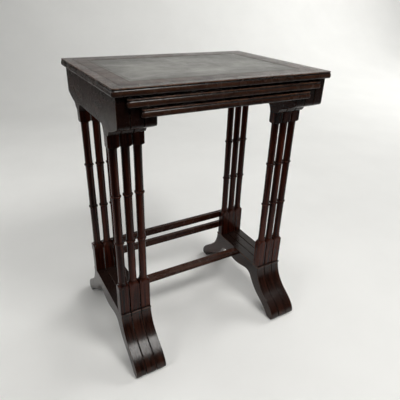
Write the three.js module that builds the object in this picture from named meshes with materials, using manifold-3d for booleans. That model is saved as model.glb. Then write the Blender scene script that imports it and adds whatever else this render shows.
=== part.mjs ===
// A nest of three mahogany tables on turned legs and sawn trestle feet.
// Millimetres, +Z up, +X to the right, -Y to the front, origin on the floor under the centre.
// Each smaller table stands inside the next larger one and is drawn out to the front.

import * as THREE from 'three';
import { mergeVertices } from 'three/addons/utils/BufferGeometryUtils.js';
import Module from 'manifold-3d';

const wasm = await Module();
wasm.setup();

// Overall sizes of the large table
const tableHeight = 700;
const topWidth = 516;
const topDepth = 371;

// How the tables nest
const sideGap = 2.2;
const topStep = 20.5;
const nestStep = 1;
const jointGap = 0.2;

// Tops
const topThickness = 15;
const topCornerRadius = 6;
const sideOverhang = 8.6;
const frontOverhang = 10;
const beadInset = 1;
const quirkInset = 2.4;
const lowerEdgeInset = 2;

// Inlay and leather let into each top
const borderWidth = 22;
const outerLineWidth = 1.4;
const crossbandingWidth = 26.6;
const innerLineWidth = 2.4;
const inlayDepth = 1.5;
const leatherDrop = 0.3;

// End boards
const boardThickness = 24.8;
const boardCornerRadius = 8;
const boardFrontDrop = 69;
const wingRootDrop = 92;
const wingRootReach = 26;
const boardArchDrop = 87.5;
const archRadius = 13;
const grooveClearance = 1.2;

// Legs
const legSpacing = 200;
const legDepth = 22;
const seatDrop = 105;
const capHeight = 20;
const capShoulder = 8;
const blockHeight = 78;
const blockShoulder = 10;
const shaftRadius = 9;
const neckRadius = 10;
const ringRadius = 11;
const ringHalfHeight = 3;
const ringShares = [0.333, 0.679];
const tenonRadius = 7;
const topTenonLength = 20;
const footTenonLength = 22;

// Trestle feet
const footHeight = 135;
const ledgeWidth = 4;
const ledgeStep = 2;
const toeReach = 101;
const toeHeight = 11;
const soleReach = 77;
const soleEdge = 94.5;
const kneeReach = 60;
const kneeHeight = 56.5;
const heelReach = 27;
const heelHeight = 41;
const archShoulderReach = -18;
const archShoulderHeight = 86;
const archCrownReach = -40;
const archCrownHeight = 96;
const archCentreHeight = 87;

// Stretchers
const railThickness = 12;
const railHeight = 20;
const railEndInset = 1.5;
const largeRailFoot = 190.5;
const mediumRailFoot = 153.5;
const smallStretcherWidth = 26;
const smallStretcherThickness = 10;
const smallStretcherFoot = 121;
const stretcherTenonWidth = 18;
const stretcherTenonThickness = 6;
const stretcherTenonLength = 12;

// Dowels under the tops and screws behind the rails
const dowelRadius = 4;
const dowelIntoTop = 8;
const dowelIntoBoard = 22;
const dowelOutset = 3;
const dowelReach = 40;
const screwShankRadius = 2;
const screwHeadRadius = 3.8;
const screwHeadDepth = 2.6;
const screwLength = 24;
const screwPointLength = 4;

// Faceting
const latheSides = 16;
const dowelSides = 10;
const curveSteps = 6;
const cornerSteps = 4;

const boardPitch = boardThickness + sideGap;
const seatHeight = tableHeight - seatDrop;
const boardFrontFoot = tableHeight - boardFrontDrop;
const wingRootHeight = tableHeight - wingRootDrop;
const boardArchHeight = tableHeight - boardArchDrop;
const legLineFromTopEdge = topDepth / 2 - legSpacing / 2;
const sides = [['left', -1], ['right', 1]];
const ends = [['front', -1], ['back', 1]];

const finishes = {
  top: { color: 0x4a2419, roughness: 0.28, metalness: 0 },
  frame: { color: 0x3d1c14, roughness: 0.32, metalness: 0 },
  turned: { color: 0x45201a, roughness: 0.3, metalness: 0 },
  crossbanding: { color: 0x55291b, roughness: 0.28, metalness: 0 },
  line: { color: 0x8a6a45, roughness: 0.35, metalness: 0 },
  leather: { color: 0x2c2f29, roughness: 0.45, metalness: 0 },
  dowel: { color: 0xb48a5c, roughness: 0.7, metalness: 0 },
  screw: { color: 0x9a7b40, roughness: 0.4, metalness: 0.9 },
};

function solidOf(geometry) {
  const bare = geometry.index ? geometry.toNonIndexed() : geometry.clone();
  bare.deleteAttribute('normal');
  bare.deleteAttribute('uv');
  const merged = mergeVertices(bare);
  return new wasm.Manifold(new wasm.Mesh({
    numProp: 3,
    vertProperties: new Float32Array(merged.attributes.position.array),
    triVerts: new Uint32Array(merged.index.array),
  }));
}

function geometryOf(solid) {
  const mesh = solid.getMesh();
  const geometry = new THREE.BufferGeometry();
  geometry.setAttribute('position', new THREE.BufferAttribute(mesh.vertProperties, 3));
  geometry.setIndex(new THREE.BufferAttribute(mesh.triVerts, 1));
  geometry.computeVertexNormals();
  return geometry;
}

function boxBetween(low, high) {
  const size = high.map((value, axis) => value - low[axis]);
  const centre = high.map((value, axis) => (value + low[axis]) / 2);
  return new THREE.BoxGeometry(...size).translate(...centre);
}

// A round bar along Z
function uprightBar(radius, low, high, count) {
  const bar = new THREE.CylinderGeometry(radius, radius, high - low, count);
  return bar.rotateX(Math.PI / 2).translate(0, 0, (low + high) / 2);
}

// A half outline in (y, z) mirrored about the centre line and sawn from a board of even thickness
function sawnBoard(halfOutline, thickness) {
  const half = halfOutline.getPoints(curveSteps);
  const mirrored = half.slice(1, -1).reverse().map((point) => new THREE.Vector2(-point.x, point.y));
  const shape = new THREE.Shape([...half, ...mirrored]);
  const geometry = new THREE.ExtrudeGeometry(shape, { depth: thickness, bevelEnabled: false });
  const stand = new THREE.Matrix4().makeBasis(
    new THREE.Vector3(0, 1, 0),
    new THREE.Vector3(0, 0, 1),
    new THREE.Vector3(1, 0, 0),
  );
  return geometry.applyMatrix4(stand).translate(-thickness / 2, 0, 0);
}

function roundedRectangle(halfX, halfY, radius) {
  const corners = [[1, 1, 0], [-1, 1, 1], [-1, -1, 2], [1, -1, 3]];
  const points = [];
  for (const [signX, signY, quarter] of corners) {
    for (let step = 0; step <= cornerSteps; step += 1) {
      const angle = (quarter + step / cornerSteps) * Math.PI / 2;
      points.push([
        signX * (halfX - radius) + radius * Math.cos(angle),
        signY * (halfY - radius) + radius * Math.sin(angle),
      ]);
    }
  }
  return points;
}

// A slab whose moulded edge follows [inset, height] steps from the underside up
function mouldedSlab(halfX, halfY, steps) {
  const rows = steps.map(([inset, height]) => {
    const outline = roundedRectangle(halfX - inset, halfY - inset, topCornerRadius - inset);
    return outline.map(([x, y]) => [x, y, height]);
  });
  const count = rows[0].length;
  const positions = rows.flat(2);
  const indices = [];
  for (let row = 0; row < rows.length - 1; row += 1) {
    for (let column = 0; column < count; column += 1) {
      const next = (column + 1) % count;
      const a = row * count + column;
      const b = row * count + next;
      indices.push(a, b, b + count, a, b + count, a + count);
    }
  }
  const lastRow = (rows.length - 1) * count;
  for (let column = 1; column < count - 1; column += 1) {
    indices.push(0, column + 1, column);
    indices.push(lastRow, lastRow + column, lastRow + column + 1);
  }
  const geometry = new THREE.BufferGeometry();
  geometry.setAttribute('position', new THREE.Float32BufferAttribute(positions, 3));
  geometry.setIndex(indices);
  return geometry;
}

// Sizes that follow for one table of the nest, 0 for the largest
function tableSizes(index) {
  const halfWidth = topWidth / 2 - index * boardPitch;
  const legLine = legSpacing / 2 - index * nestStep;
  return {
    index,
    halfWidth,
    legLine,
    centreY: -index * nestStep,
    halfDepth: legLine + legLineFromTopEdge,
    topHeight: tableHeight - index * topStep,
    underside: tableHeight - index * topStep - topThickness,
    boardX: halfWidth - sideOverhang - boardThickness / 2,
    boardHalfDepth: legLine + legLineFromTopEdge - frontOverhang,
  };
}

function topBoard(table) {
  const { halfWidth, halfDepth, underside, topHeight } = table;
  const slab = solidOf(mouldedSlab(halfWidth, halfDepth, [
    [lowerEdgeInset, underside],
    [0, underside + topThickness * 0.2],
    [0, underside + topThickness * 0.55],
    [quirkInset * 0.6, underside + topThickness * 0.76],
    [quirkInset, underside + topThickness * 0.82],
    [beadInset, underside + topThickness * 0.88],
    [beadInset, topHeight - 1],
    [beadInset * 1.8, topHeight],
  ]));
  const recessX = halfWidth - borderWidth;
  const recessY = halfDepth - borderWidth;
  const recess = boxBetween(
    [-recessX, -recessY, topHeight - inlayDepth],
    [recessX, recessY, topHeight + 1],
  );
  let board = slab.subtract(solidOf(recess));
  for (const [, side] of sides) {
    for (const [, end] of ends) {
      const hole = uprightBar(
        dowelRadius + jointGap,
        underside - 1,
        underside + dowelIntoTop + jointGap,
        dowelSides,
      );
      hole.translate(side * (table.boardX + dowelOutset), end * (table.legLine + dowelReach), 0);
      board = board.subtract(solidOf(hole));
    }
  }
  return geometryOf(board);
}

// A flat band let in between two insets from the edge of the top
function inlayBand(table, outerInset, width) {
  const outline = (inset) => {
    const x = table.halfWidth - inset;
    const y = table.halfDepth - inset;
    return [[-x, -y], [x, -y], [x, y], [-x, y]].map(([px, py]) => new THREE.Vector2(px, py));
  };
  const shape = new THREE.Shape(outline(outerInset + jointGap / 2));
  shape.holes.push(new THREE.Path(outline(outerInset + width - jointGap / 2)));
  const band = new THREE.ExtrudeGeometry(shape, { depth: inlayDepth - jointGap, bevelEnabled: false });
  return band.translate(0, 0, table.topHeight - inlayDepth + jointGap);
}

function leatherPanel(table, inset) {
  const x = table.halfWidth - inset - jointGap / 2;
  const y = table.halfDepth - inset - jointGap / 2;
  const low = [-x, -y, table.topHeight - inlayDepth + jointGap];
  return boxBetween(low, [x, y, table.topHeight - leatherDrop]);
}

function endBoardOutline(table) {
  const { legLine, boardHalfDepth } = table;
  const top = table.underside - jointGap;
  const seatOuter = legLine + legDepth / 2;
  const seatInner = legLine - legDepth / 2;
  const wingRoot = legLine + wingRootReach;
  const outline = new THREE.Path();
  outline.moveTo(0, top);
  outline.lineTo(boardHalfDepth, top);
  outline.lineTo(boardHalfDepth, boardFrontFoot);
  outline.quadraticCurveTo(
    boardHalfDepth,
    boardFrontFoot - boardCornerRadius,
    boardHalfDepth - boardCornerRadius,
    boardFrontFoot - boardCornerRadius - 1,
  );
  outline.quadraticCurveTo(
    (boardHalfDepth + wingRoot) / 2,
    wingRootHeight + 6,
    wingRoot,
    wingRootHeight,
  );
  outline.bezierCurveTo(
    wingRoot - 5,
    wingRootHeight - 4,
    seatOuter + 9,
    seatHeight + 1.5,
    seatOuter + 1.5,
    seatHeight + 1,
  );
  outline.lineTo(seatOuter, seatHeight);
  outline.lineTo(seatInner, seatHeight);
  outline.quadraticCurveTo(
    seatInner - archRadius * 0.2,
    boardArchHeight,
    seatInner - archRadius,
    boardArchHeight,
  );
  outline.lineTo(0, boardArchHeight);
  return outline;
}

// The inner face is grooved for the edges of the next smaller top
function endBoard(table, side, innerTable) {
  let board = solidOf(sawnBoard(endBoardOutline(table), boardThickness));
  for (const [, end] of ends) {
    const socket = uprightBar(
      tenonRadius + jointGap,
      seatHeight - 1,
      seatHeight + topTenonLength + jointGap,
      latheSides,
    );
    board = board.subtract(solidOf(socket.translate(0, end * table.legLine, 0)));
    const dowelHole = uprightBar(
      dowelRadius + jointGap,
      table.underside - dowelIntoBoard - jointGap,
      table.underside + 1,
      dowelSides,
    );
    dowelHole.translate(side * dowelOutset, end * (table.legLine + dowelReach), 0);
    board = board.subtract(solidOf(dowelHole));
  }
  if (innerTable) {
    const grooveFloor = innerTable.halfWidth + grooveClearance - table.boardX;
    const reach = [-side * boardThickness, -side * grooveFloor].sort((a, b) => a - b);
    const groove = boxBetween(
      [reach[0], -topDepth, innerTable.underside - grooveClearance],
      [reach[1], topDepth, innerTable.topHeight + grooveClearance],
    );
    board = board.subtract(solidOf(groove));
  }
  return geometryOf(board);
}

function footOutline(table) {
  const { legLine } = table;
  const blockFace = legLine + legDepth / 2;
  const ledge = blockFace + ledgeWidth;
  const toe = legLine + toeReach;
  const knee = legLine + kneeReach;
  const heel = legLine + heelReach;
  const shoulder = legLine + archShoulderReach;
  const crown = legLine + archCrownReach;
  const outline = new THREE.Path();
  outline.moveTo(0, footHeight);
  outline.lineTo(ledge - 1, footHeight);
  outline.lineTo(ledge, footHeight - 1);
  outline.lineTo(ledge, footHeight - 5);
  outline.lineTo(ledge - ledgeStep, footHeight - 6.5);
  outline.bezierCurveTo(ledge + 1.5, footHeight - 36, ledge + 17, kneeHeight + 17.5, knee, kneeHeight);
  outline.bezierCurveTo(knee + 20, kneeHeight - 14, toe - 2, toeHeight + 18, toe, toeHeight);
  outline.quadraticCurveTo(toe, 1, legLine + soleEdge, 0);
  outline.lineTo(legLine + soleReach, 0);
  outline.bezierCurveTo(legLine + soleReach - 7, 14, heel + 23, heelHeight - 13, heel, heelHeight);
  outline.bezierCurveTo(
    heel - 19,
    heelHeight + 11,
    shoulder + 10,
    archShoulderHeight - 16,
    shoulder,
    archShoulderHeight,
  );
  outline.quadraticCurveTo(shoulder - 8, archCrownHeight, crown, archCrownHeight);
  outline.bezierCurveTo(crown - 20, archCrownHeight, 25, archCentreHeight, 0, archCentreHeight);
  return outline;
}

function foot(table, side, mortised) {
  let board = solidOf(sawnBoard(footOutline(table), boardThickness));
  for (const [, end] of ends) {
    const socket = uprightBar(
      tenonRadius + jointGap,
      footHeight - footTenonLength - jointGap,
      footHeight + 1,
      latheSides,
    );
    board = board.subtract(solidOf(socket.translate(0, end * table.legLine, 0)));
  }
  if (mortised) {
    const halfWidth = stretcherTenonWidth / 2 + jointGap;
    const middle = smallStretcherFoot + smallStretcherThickness / 2;
    const halfThickness = stretcherTenonThickness / 2 + jointGap;
    const reach = [-side * boardThickness, -side * (boardThickness / 2 - stretcherTenonLength)];
    reach.sort((a, b) => a - b);
    const mortise = boxBetween(
      [reach[0], -halfWidth, middle - halfThickness],
      [reach[1], halfWidth, middle + halfThickness],
    );
    board = board.subtract(solidOf(mortise));
  }
  return geometryOf(board);
}

// Half the outline of a leg as turned, with the square parts left outside the reach of its corners
function legProfile() {
  const squareClear = Math.hypot(boardThickness, legDepth) / 2 / Math.cos(Math.PI / latheSides) + 0.5;
  const blockFoot = footHeight + jointGap;
  const capTop = seatHeight - jointGap;
  const blockTop = blockFoot + blockHeight;
  const capFoot = capTop - capHeight;
  const shaftFoot = blockTop + blockShoulder;
  const shaftTop = capFoot - capShoulder;
  const profile = [
    [0, footHeight - footTenonLength],
    [tenonRadius, footHeight - footTenonLength],
    [tenonRadius, blockFoot],
    [squareClear, blockFoot],
    [squareClear, blockTop - 1],
    [legDepth / 2 + 0.6, blockTop + blockShoulder * 0.5],
    [neckRadius, shaftFoot],
  ];
  for (const share of ringShares) {
    const ringHeight = shaftFoot + share * (shaftTop - shaftFoot);
    profile.push([shaftRadius, ringHeight - ringHalfHeight - 2]);
    profile.push([ringRadius, ringHeight - ringHalfHeight * 0.5]);
    profile.push([ringRadius, ringHeight + ringHalfHeight * 0.5]);
    profile.push([shaftRadius, ringHeight + ringHalfHeight + 2]);
  }
  profile.push([neckRadius - 0.5, shaftTop]);
  profile.push([legDepth / 2, shaftTop + capShoulder * 0.5]);
  profile.push([squareClear, capFoot + 1]);
  profile.push([squareClear, capTop]);
  profile.push([tenonRadius, capTop]);
  profile.push([tenonRadius, seatHeight + topTenonLength]);
  profile.push([0, seatHeight + topTenonLength]);
  return profile.map(([radius, height]) => new THREE.Vector2(radius, height));
}

function leg() {
  const turned = new THREE.LatheGeometry(legProfile(), latheSides).rotateX(Math.PI / 2);
  const stock = boxBetween(
    [-boardThickness / 2, -legDepth / 2, footHeight - footTenonLength - 1],
    [boardThickness / 2, legDepth / 2, seatHeight + topTenonLength + 1],
  );
  return solidOf(turned).intersect(solidOf(stock));
}

// Screws lie along Y and are driven from the back
function screw() {
  const length = screwLength;
  const profile = [
    [0, 0],
    [screwShankRadius * 0.3, 0],
    [screwShankRadius, screwPointLength],
    [screwShankRadius, length - screwHeadDepth],
    [screwHeadRadius, length - 0.5],
    [screwHeadRadius, length],
    [0, length],
  ];
  return new THREE.LatheGeometry(profile.map(([r, h]) => new THREE.Vector2(r, h)), dowelSides);
}

function screwHole(clearance) {
  const hole = [
    [0, -1],
    [screwShankRadius + clearance, -1],
    [screwShankRadius + clearance, screwLength - screwHeadDepth - clearance],
    [screwHeadRadius + clearance, screwLength - 0.5 - clearance],
    [screwHeadRadius + clearance, screwLength + 5],
    [0, screwLength + 5],
  ];
  return new THREE.LatheGeometry(hole.map(([r, h]) => new THREE.Vector2(r, h)), dowelSides);
}

function backRail(table, railFoot, screwPlaces) {
  const front = table.legLine + legDepth / 2 + jointGap;
  const halfLength = table.boardX + boardThickness / 2 - railEndInset;
  let rail = solidOf(boxBetween(
    [-halfLength, front, railFoot],
    [halfLength, front + railThickness, railFoot + railHeight],
  ));
  for (const place of screwPlaces) {
    rail = rail.subtract(solidOf(screwHole(jointGap).translate(...place)));
  }
  return geometryOf(rail);
}

function tenonedStretcher(table) {
  const halfLength = table.boardX - boardThickness / 2 - jointGap;
  const halfWidth = smallStretcherWidth / 2;
  const top = smallStretcherFoot + smallStretcherThickness;
  const middle = (smallStretcherFoot + top) / 2;
  const board = boxBetween([-halfLength, -halfWidth, smallStretcherFoot], [halfLength, halfWidth, top]);
  const tenonReach = halfLength + stretcherTenonLength - jointGap;
  const tenon = boxBetween(
    [-tenonReach, -stretcherTenonWidth / 2, middle - stretcherTenonThickness / 2],
    [tenonReach, stretcherTenonWidth / 2, middle + stretcherTenonThickness / 2],
  );
  return geometryOf(solidOf(board).add(solidOf(tenon)));
}

function addPiece(group, name, geometry, finish, place = [0, 0, 0]) {
  const material = new THREE.MeshStandardMaterial({ ...finishes[finish] });
  const piece = new THREE.Mesh(geometry, material);
  piece.name = name;
  piece.position.set(...place);
  group.add(piece);
}

function addTop(group, label, table) {
  const crossbandingInset = borderWidth + outerLineWidth;
  const innerLineInset = crossbandingInset + crossbandingWidth;
  const leatherInset = innerLineInset + innerLineWidth;
  addPiece(group, `${label}_top_board`, topBoard(table), 'top');
  addPiece(group, `${label}_outer_line`, inlayBand(table, borderWidth, outerLineWidth), 'line');
  addPiece(
    group,
    `${label}_crossbanding`,
    inlayBand(table, crossbandingInset, crossbandingWidth),
    'crossbanding',
  );
  addPiece(group, `${label}_inner_line`, inlayBand(table, innerLineInset, innerLineWidth), 'line');
  addPiece(group, `${label}_leather`, leatherPanel(table, leatherInset), 'leather');
}

function addEnds(group, label, table, innerTable, railFoot) {
  const screwHeight = railFoot + railHeight / 2;
  const screwBack = table.legLine + legDepth / 2 + jointGap + railThickness - 0.5;
  for (const [sideName, side] of sides) {
    const x = side * table.boardX;
    const board = endBoard(table, side, innerTable);
    addPiece(group, `${label}_end_board_${sideName}`, board, 'frame', [x, 0, 0]);
    const footBoard = foot(table, side, !railFoot);
    addPiece(group, `${label}_foot_${sideName}`, footBoard, 'frame', [x, 0, 0]);
    for (const [endName, end] of ends) {
      let turned = leg();
      if (railFoot && end > 0) {
        const place = [0, screwBack - screwLength - end * table.legLine, screwHeight];
        turned = turned.subtract(solidOf(screwHole(jointGap).translate(...place)));
      }
      const y = end * table.legLine;
      addPiece(group, `${label}_leg_${endName}_${sideName}`, geometryOf(turned), 'turned', [x, y, 0]);
      const dowel = uprightBar(
        dowelRadius,
        table.underside - dowelIntoBoard,
        table.underside + dowelIntoTop,
        dowelSides,
      );
      const dowelPlace = [x + side * dowelOutset, end * (table.legLine + dowelReach), 0];
      addPiece(group, `${label}_dowel_${endName}_${sideName}`, dowel, 'dowel', dowelPlace);
    }
  }
}

function addStretcher(group, label, table, railFoot) {
  if (!railFoot) {
    addPiece(group, `${label}_stretcher`, tenonedStretcher(table), 'frame');
    return;
  }
  const screwBack = table.legLine + legDepth / 2 + jointGap + railThickness - 0.5;
  const places = sides.map(([, side]) => [
    side * table.boardX,
    screwBack - screwLength,
    railFoot + railHeight / 2,
  ]);
  addPiece(group, `${label}_stretcher`, backRail(table, railFoot, places), 'frame');
  sides.forEach(([sideName], index) => {
    addPiece(group, `${label}_stretcher_screw_${sideName}`, screw(), 'screw', places[index]);
  });
}

const nest = new THREE.Group();
const tables = [
  ['large', largeRailFoot],
  ['medium', mediumRailFoot],
  ['small', null],
];
tables.forEach(([label, railFoot], index) => {
  const table = tableSizes(index);
  const innerTable = index < tables.length - 1 ? tableSizes(index + 1) : null;
  const group = new THREE.Group();
  group.position.y = table.centreY;
  addTop(group, label, table);
  addEnds(group, label, table, innerTable, railFoot);
  addStretcher(group, label, table, railFoot);
  nest.add(group);
});

export default nest;
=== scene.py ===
# A nest of three mahogany tables with leather-lined tops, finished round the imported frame.
import math

import bmesh
import bpy
from mathutils import Matrix, Vector


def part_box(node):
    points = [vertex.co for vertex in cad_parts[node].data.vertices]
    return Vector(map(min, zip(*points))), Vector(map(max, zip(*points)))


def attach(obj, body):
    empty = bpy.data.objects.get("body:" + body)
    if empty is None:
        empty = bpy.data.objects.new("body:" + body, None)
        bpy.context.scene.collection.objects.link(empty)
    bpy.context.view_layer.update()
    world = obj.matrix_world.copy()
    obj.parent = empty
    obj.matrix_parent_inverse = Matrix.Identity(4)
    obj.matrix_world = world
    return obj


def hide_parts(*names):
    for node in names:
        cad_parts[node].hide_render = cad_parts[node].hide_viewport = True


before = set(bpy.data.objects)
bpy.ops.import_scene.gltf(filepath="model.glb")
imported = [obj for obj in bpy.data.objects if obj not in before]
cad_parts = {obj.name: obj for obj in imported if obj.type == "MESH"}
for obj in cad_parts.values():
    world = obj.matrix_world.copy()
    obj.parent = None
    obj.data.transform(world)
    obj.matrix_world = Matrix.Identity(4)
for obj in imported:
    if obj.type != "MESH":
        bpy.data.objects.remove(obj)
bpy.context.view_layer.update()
tableNames = ["large", "medium", "small"]
sideNames = ["left", "right"]
endNames = ["front", "back"]
print("stage: frame loaded,", len(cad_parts), "nodes")


# Camera and studio
cameraView = {
    "azimuth": -30.83,      # degrees round from the front, to the left
    "elevation": 27.41,
    "roll": 2.0,
    "distance": 1.1004,
    "lookAt": (0.0322, 0.0, 0.3388),
    "lens": 35.73,
    "sensor": 36.0,
}

studio = {
    "floorReach": 24.0,
    "sweepStart": 2.2,          # where the floor begins to rise into the wall behind
    "sweepRadius": 1.4,
    "wallHeight": 5.0,
    "floorColour": (0.90, 0.905, 0.89, 1),
    "frontColour": (0.05, 0.05, 0.05, 1),
    "frontFade": (-0.85, -0.42),
    "leftFade": (-2.4, -1.3),
    "frontHaze": (-0.9, -2.2),
    "sideHaze": (2.6, 4.4),
    "seenAir": (0.78, 0.79, 0.78, 1),
    "airColour": (0.95, 0.975, 1.0, 1),
    "airAbove": 0.060,
    "airInFront": 0.008,
}

lampTint = (1.0, 0.985, 0.96)
lamps = {
    "overhead": {
        "place": (0.25, 0.1, 2.3), "aim": (0.0, 0.0, 0.3), "size": 1.2, "power": 4.5, "tint": lampTint,
    },
    "frontRight": {
        "place": (0.5, -1.3, 2.3), "aim": (0.0, 0.0, 0.2), "size": 0.7, "power": 27.5, "tint": lampTint,
    },
    "frontAbove": {
        "place": (-0.4, -1.3, 2.4), "aim": (0.0, 0.0, 0.2), "size": 0.7, "power": 6.5, "tint": lampTint,
    },
    "fromLeft": {
        "place": (-2.2, -0.3, 1.7), "aim": (0.0, 0.0, 0.4), "size": 1.0, "power": 14.0, "tint": lampTint,
    },
    "backLeft": {
        "place": (-1.7, 1.8, 1.1), "aim": (0.0, 0.0, 0.4), "size": 1.0, "power": 10.0, "tint": lampTint,
    },
    "farRight": {
        "place": (4.2, 0.6, 3.0), "aim": (2.6, 2.6, 0.2), "size": 2.4, "power": 130.0, "tint": (1.0, 0.99, 0.97),
    },
}


def placeCamera(view):
    azimuth, elevation, roll = (math.radians(view[key]) for key in ("azimuth", "elevation", "roll"))
    back = Vector((
        math.sin(azimuth) * math.cos(elevation),
        -math.cos(azimuth) * math.cos(elevation),
        math.sin(elevation),
    ))
    level = (-back).cross(Vector((0, 0, 1))).normalized()
    upright = level.cross(-back)
    right = math.cos(roll) * level + math.sin(roll) * upright
    up = -math.sin(roll) * level + math.cos(roll) * upright
    data = bpy.data.cameras.new("tableCamera")
    data.lens = view["lens"]
    data.sensor_width = view["sensor"]
    data.clip_start = 0.01
    data.clip_end = 200
    camera = bpy.data.objects.new("tableCamera", data)
    bpy.context.scene.collection.objects.link(camera)
    placed = Matrix((right, up, back)).transposed().to_4x4()
    placed.translation = Vector(view["lookAt"]) + back * view["distance"]
    camera.matrix_world = placed
    bpy.context.scene.camera = camera


def placeLamp(name, lamp):
    data = bpy.data.lights.new(name, "AREA")
    data.shape = "SQUARE"
    data.size = lamp["size"]
    data.energy = lamp["power"]
    data.color = lamp["tint"]
    holder = bpy.data.objects.new(name, data)
    bpy.context.scene.collection.objects.link(holder)
    holder.location = lamp["place"]
    aim = Vector(lamp["aim"]) - Vector(lamp["place"])
    holder.rotation_euler = aim.to_track_quat("-Z", "Y").to_euler()


placeCamera(cameraView)
for lampName, lamp in lamps.items():
    placeLamp(lampName, lamp)
bpy.context.scene.view_settings.view_transform = "Standard"
print("stage: camera and lamps placed")


# Node helpers, for shader and geometry trees alike
def feed(tree, value, socket):
    if isinstance(value, bpy.types.NodeSocket):
        tree.links.new(value, socket)
    else:
        socket.default_value = value


def addNode(tree, kind, feeds=(), **settings):
    node = tree.nodes.new(kind)
    for name, value in settings.items():
        setattr(node, name, value)
    for key, value in dict(feeds).items():
        feed(tree, value, node.inputs[key])
    return node


def compute(tree, operation, *values):
    node = addNode(tree, "ShaderNodeMath", operation=operation)
    for index, value in enumerate(values):
        feed(tree, value, node.inputs[index])
    return node.outputs[0]


def stretch(tree, vector, scales):
    node = addNode(tree, "ShaderNodeVectorMath", {0: vector, 1: scales}, operation="MULTIPLY")
    return node.outputs[0]


def shift(tree, vector, offset):
    return addNode(tree, "ShaderNodeVectorMath", {0: vector, 1: offset}, operation="ADD").outputs[0]


def noise(tree, vector, scale, detail=2.0, roughness=0.5):
    feeds = {"Vector": vector, "Scale": scale, "Detail": detail, "Roughness": roughness}
    return addNode(tree, "ShaderNodeTexNoise", feeds).outputs[0]


def remap(tree, value, low, high, newLow=0.0, newHigh=1.0):
    feeds = {0: value, 1: low, 2: high, 3: newLow, 4: newHigh}
    return addNode(tree, "ShaderNodeMapRange", feeds, interpolation_type="SMOOTHSTEP").outputs[0]


# One number as a grey, to multiply a colour by
def greyOf(tree, value):
    return addNode(tree, "ShaderNodeCombineXYZ", {0: value, 1: value, 2: value}).outputs[0]


def mixColour(tree, share, first, second, blend="MIX"):
    node = addNode(tree, "ShaderNodeMix", {0: share, 6: first, 7: second}, data_type="RGBA", blend_type=blend)
    return node.outputs[2]


def makeGroup(name, inputs, outputs):
    group = bpy.data.node_groups.new(name, "ShaderNodeTree")
    for label, kind, default in inputs:
        socket = group.interface.new_socket(label, in_out="INPUT", socket_type=kind)
        if default is not None:
            socket.default_value = default
    for label, kind in outputs:
        group.interface.new_socket(label, in_out="OUTPUT", socket_type=kind)
    return group, group.nodes.new("NodeGroupInput").outputs, group.nodes.new("NodeGroupOutput").inputs


def useGroup(tree, group, feeds):
    node = tree.nodes.new("ShaderNodeGroup")
    node.node_tree = group
    for key, value in feeds.items():
        feed(tree, value, node.inputs[key])
    return node.outputs


numberKind = "NodeSocketFloat"
colourKind = "NodeSocketColor"
vectorKind = "NodeSocketVector"


# Shared effects
# Wood figure with its first axis along the grain: broad streaks, fine fibre and short dark pores
def buildFigure():
    group, given, result = makeGroup(
        "mahoganyFigure",
        [
            ("Vector", vectorKind, None),
            ("Dark", colourKind, (0.02, 0.006, 0.003, 1)),
            ("Warm", colourKind, (0.08, 0.025, 0.012, 1)),
            ("Pore depth", numberKind, 0.6),
            ("End grain", numberKind, 0.0),
        ],
        [("Colour", colourKind), ("Pores", numberKind), ("Fibre", numberKind)],
    )
    waver = noise(group, stretch(group, given["Vector"], (2.4, 7, 7)), 1.0, 2)
    sway = compute(group, "MULTIPLY", compute(group, "SUBTRACT", waver, 0.5), 0.03)
    swayed = addNode(group, "ShaderNodeCombineXYZ", {1: sway, 2: sway}).outputs[0]
    grain = shift(group, given["Vector"], swayed)
    streak = noise(group, stretch(group, grain, (2.2, 60, 60)), 1.0, 4, 0.62)
    fibre = noise(group, stretch(group, grain, (16, 640, 640)), 1.0, 3, 0.6)
    cloud = noise(group, stretch(group, given["Vector"], (5, 14, 14)), 1.0, 2)
    poreField = noise(group, stretch(group, grain, (120, 2300, 2300)), 1.0, 1)
    pores = remap(group, poreField, 0.60, 0.72)
    wood = mixColour(group, remap(group, streak, 0.34, 0.66), given["Dark"], given["Warm"])
    wood = mixColour(group, compute(group, "MULTIPLY", given["End grain"], 0.95), wood, given["Dark"])
    fibreTone = remap(group, fibre, 0.25, 0.75, 0.72, 1.22)
    cloudTone = remap(group, cloud, 0.3, 0.7, 0.82, 1.16)
    tone = compute(group, "MULTIPLY", fibreTone, cloudTone)
    poreTone = compute(group, "SUBTRACT", 1.0, compute(group, "MULTIPLY", pores, given["Pore depth"]))
    tone = compute(group, "MULTIPLY", tone, poreTone)
    feed(group, mixColour(group, 1.0, wood, greyOf(group, tone), "MULTIPLY"), result["Colour"])
    feed(group, pores, result["Pores"])
    feed(group, fibre, result["Fibre"])
    return group


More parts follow.
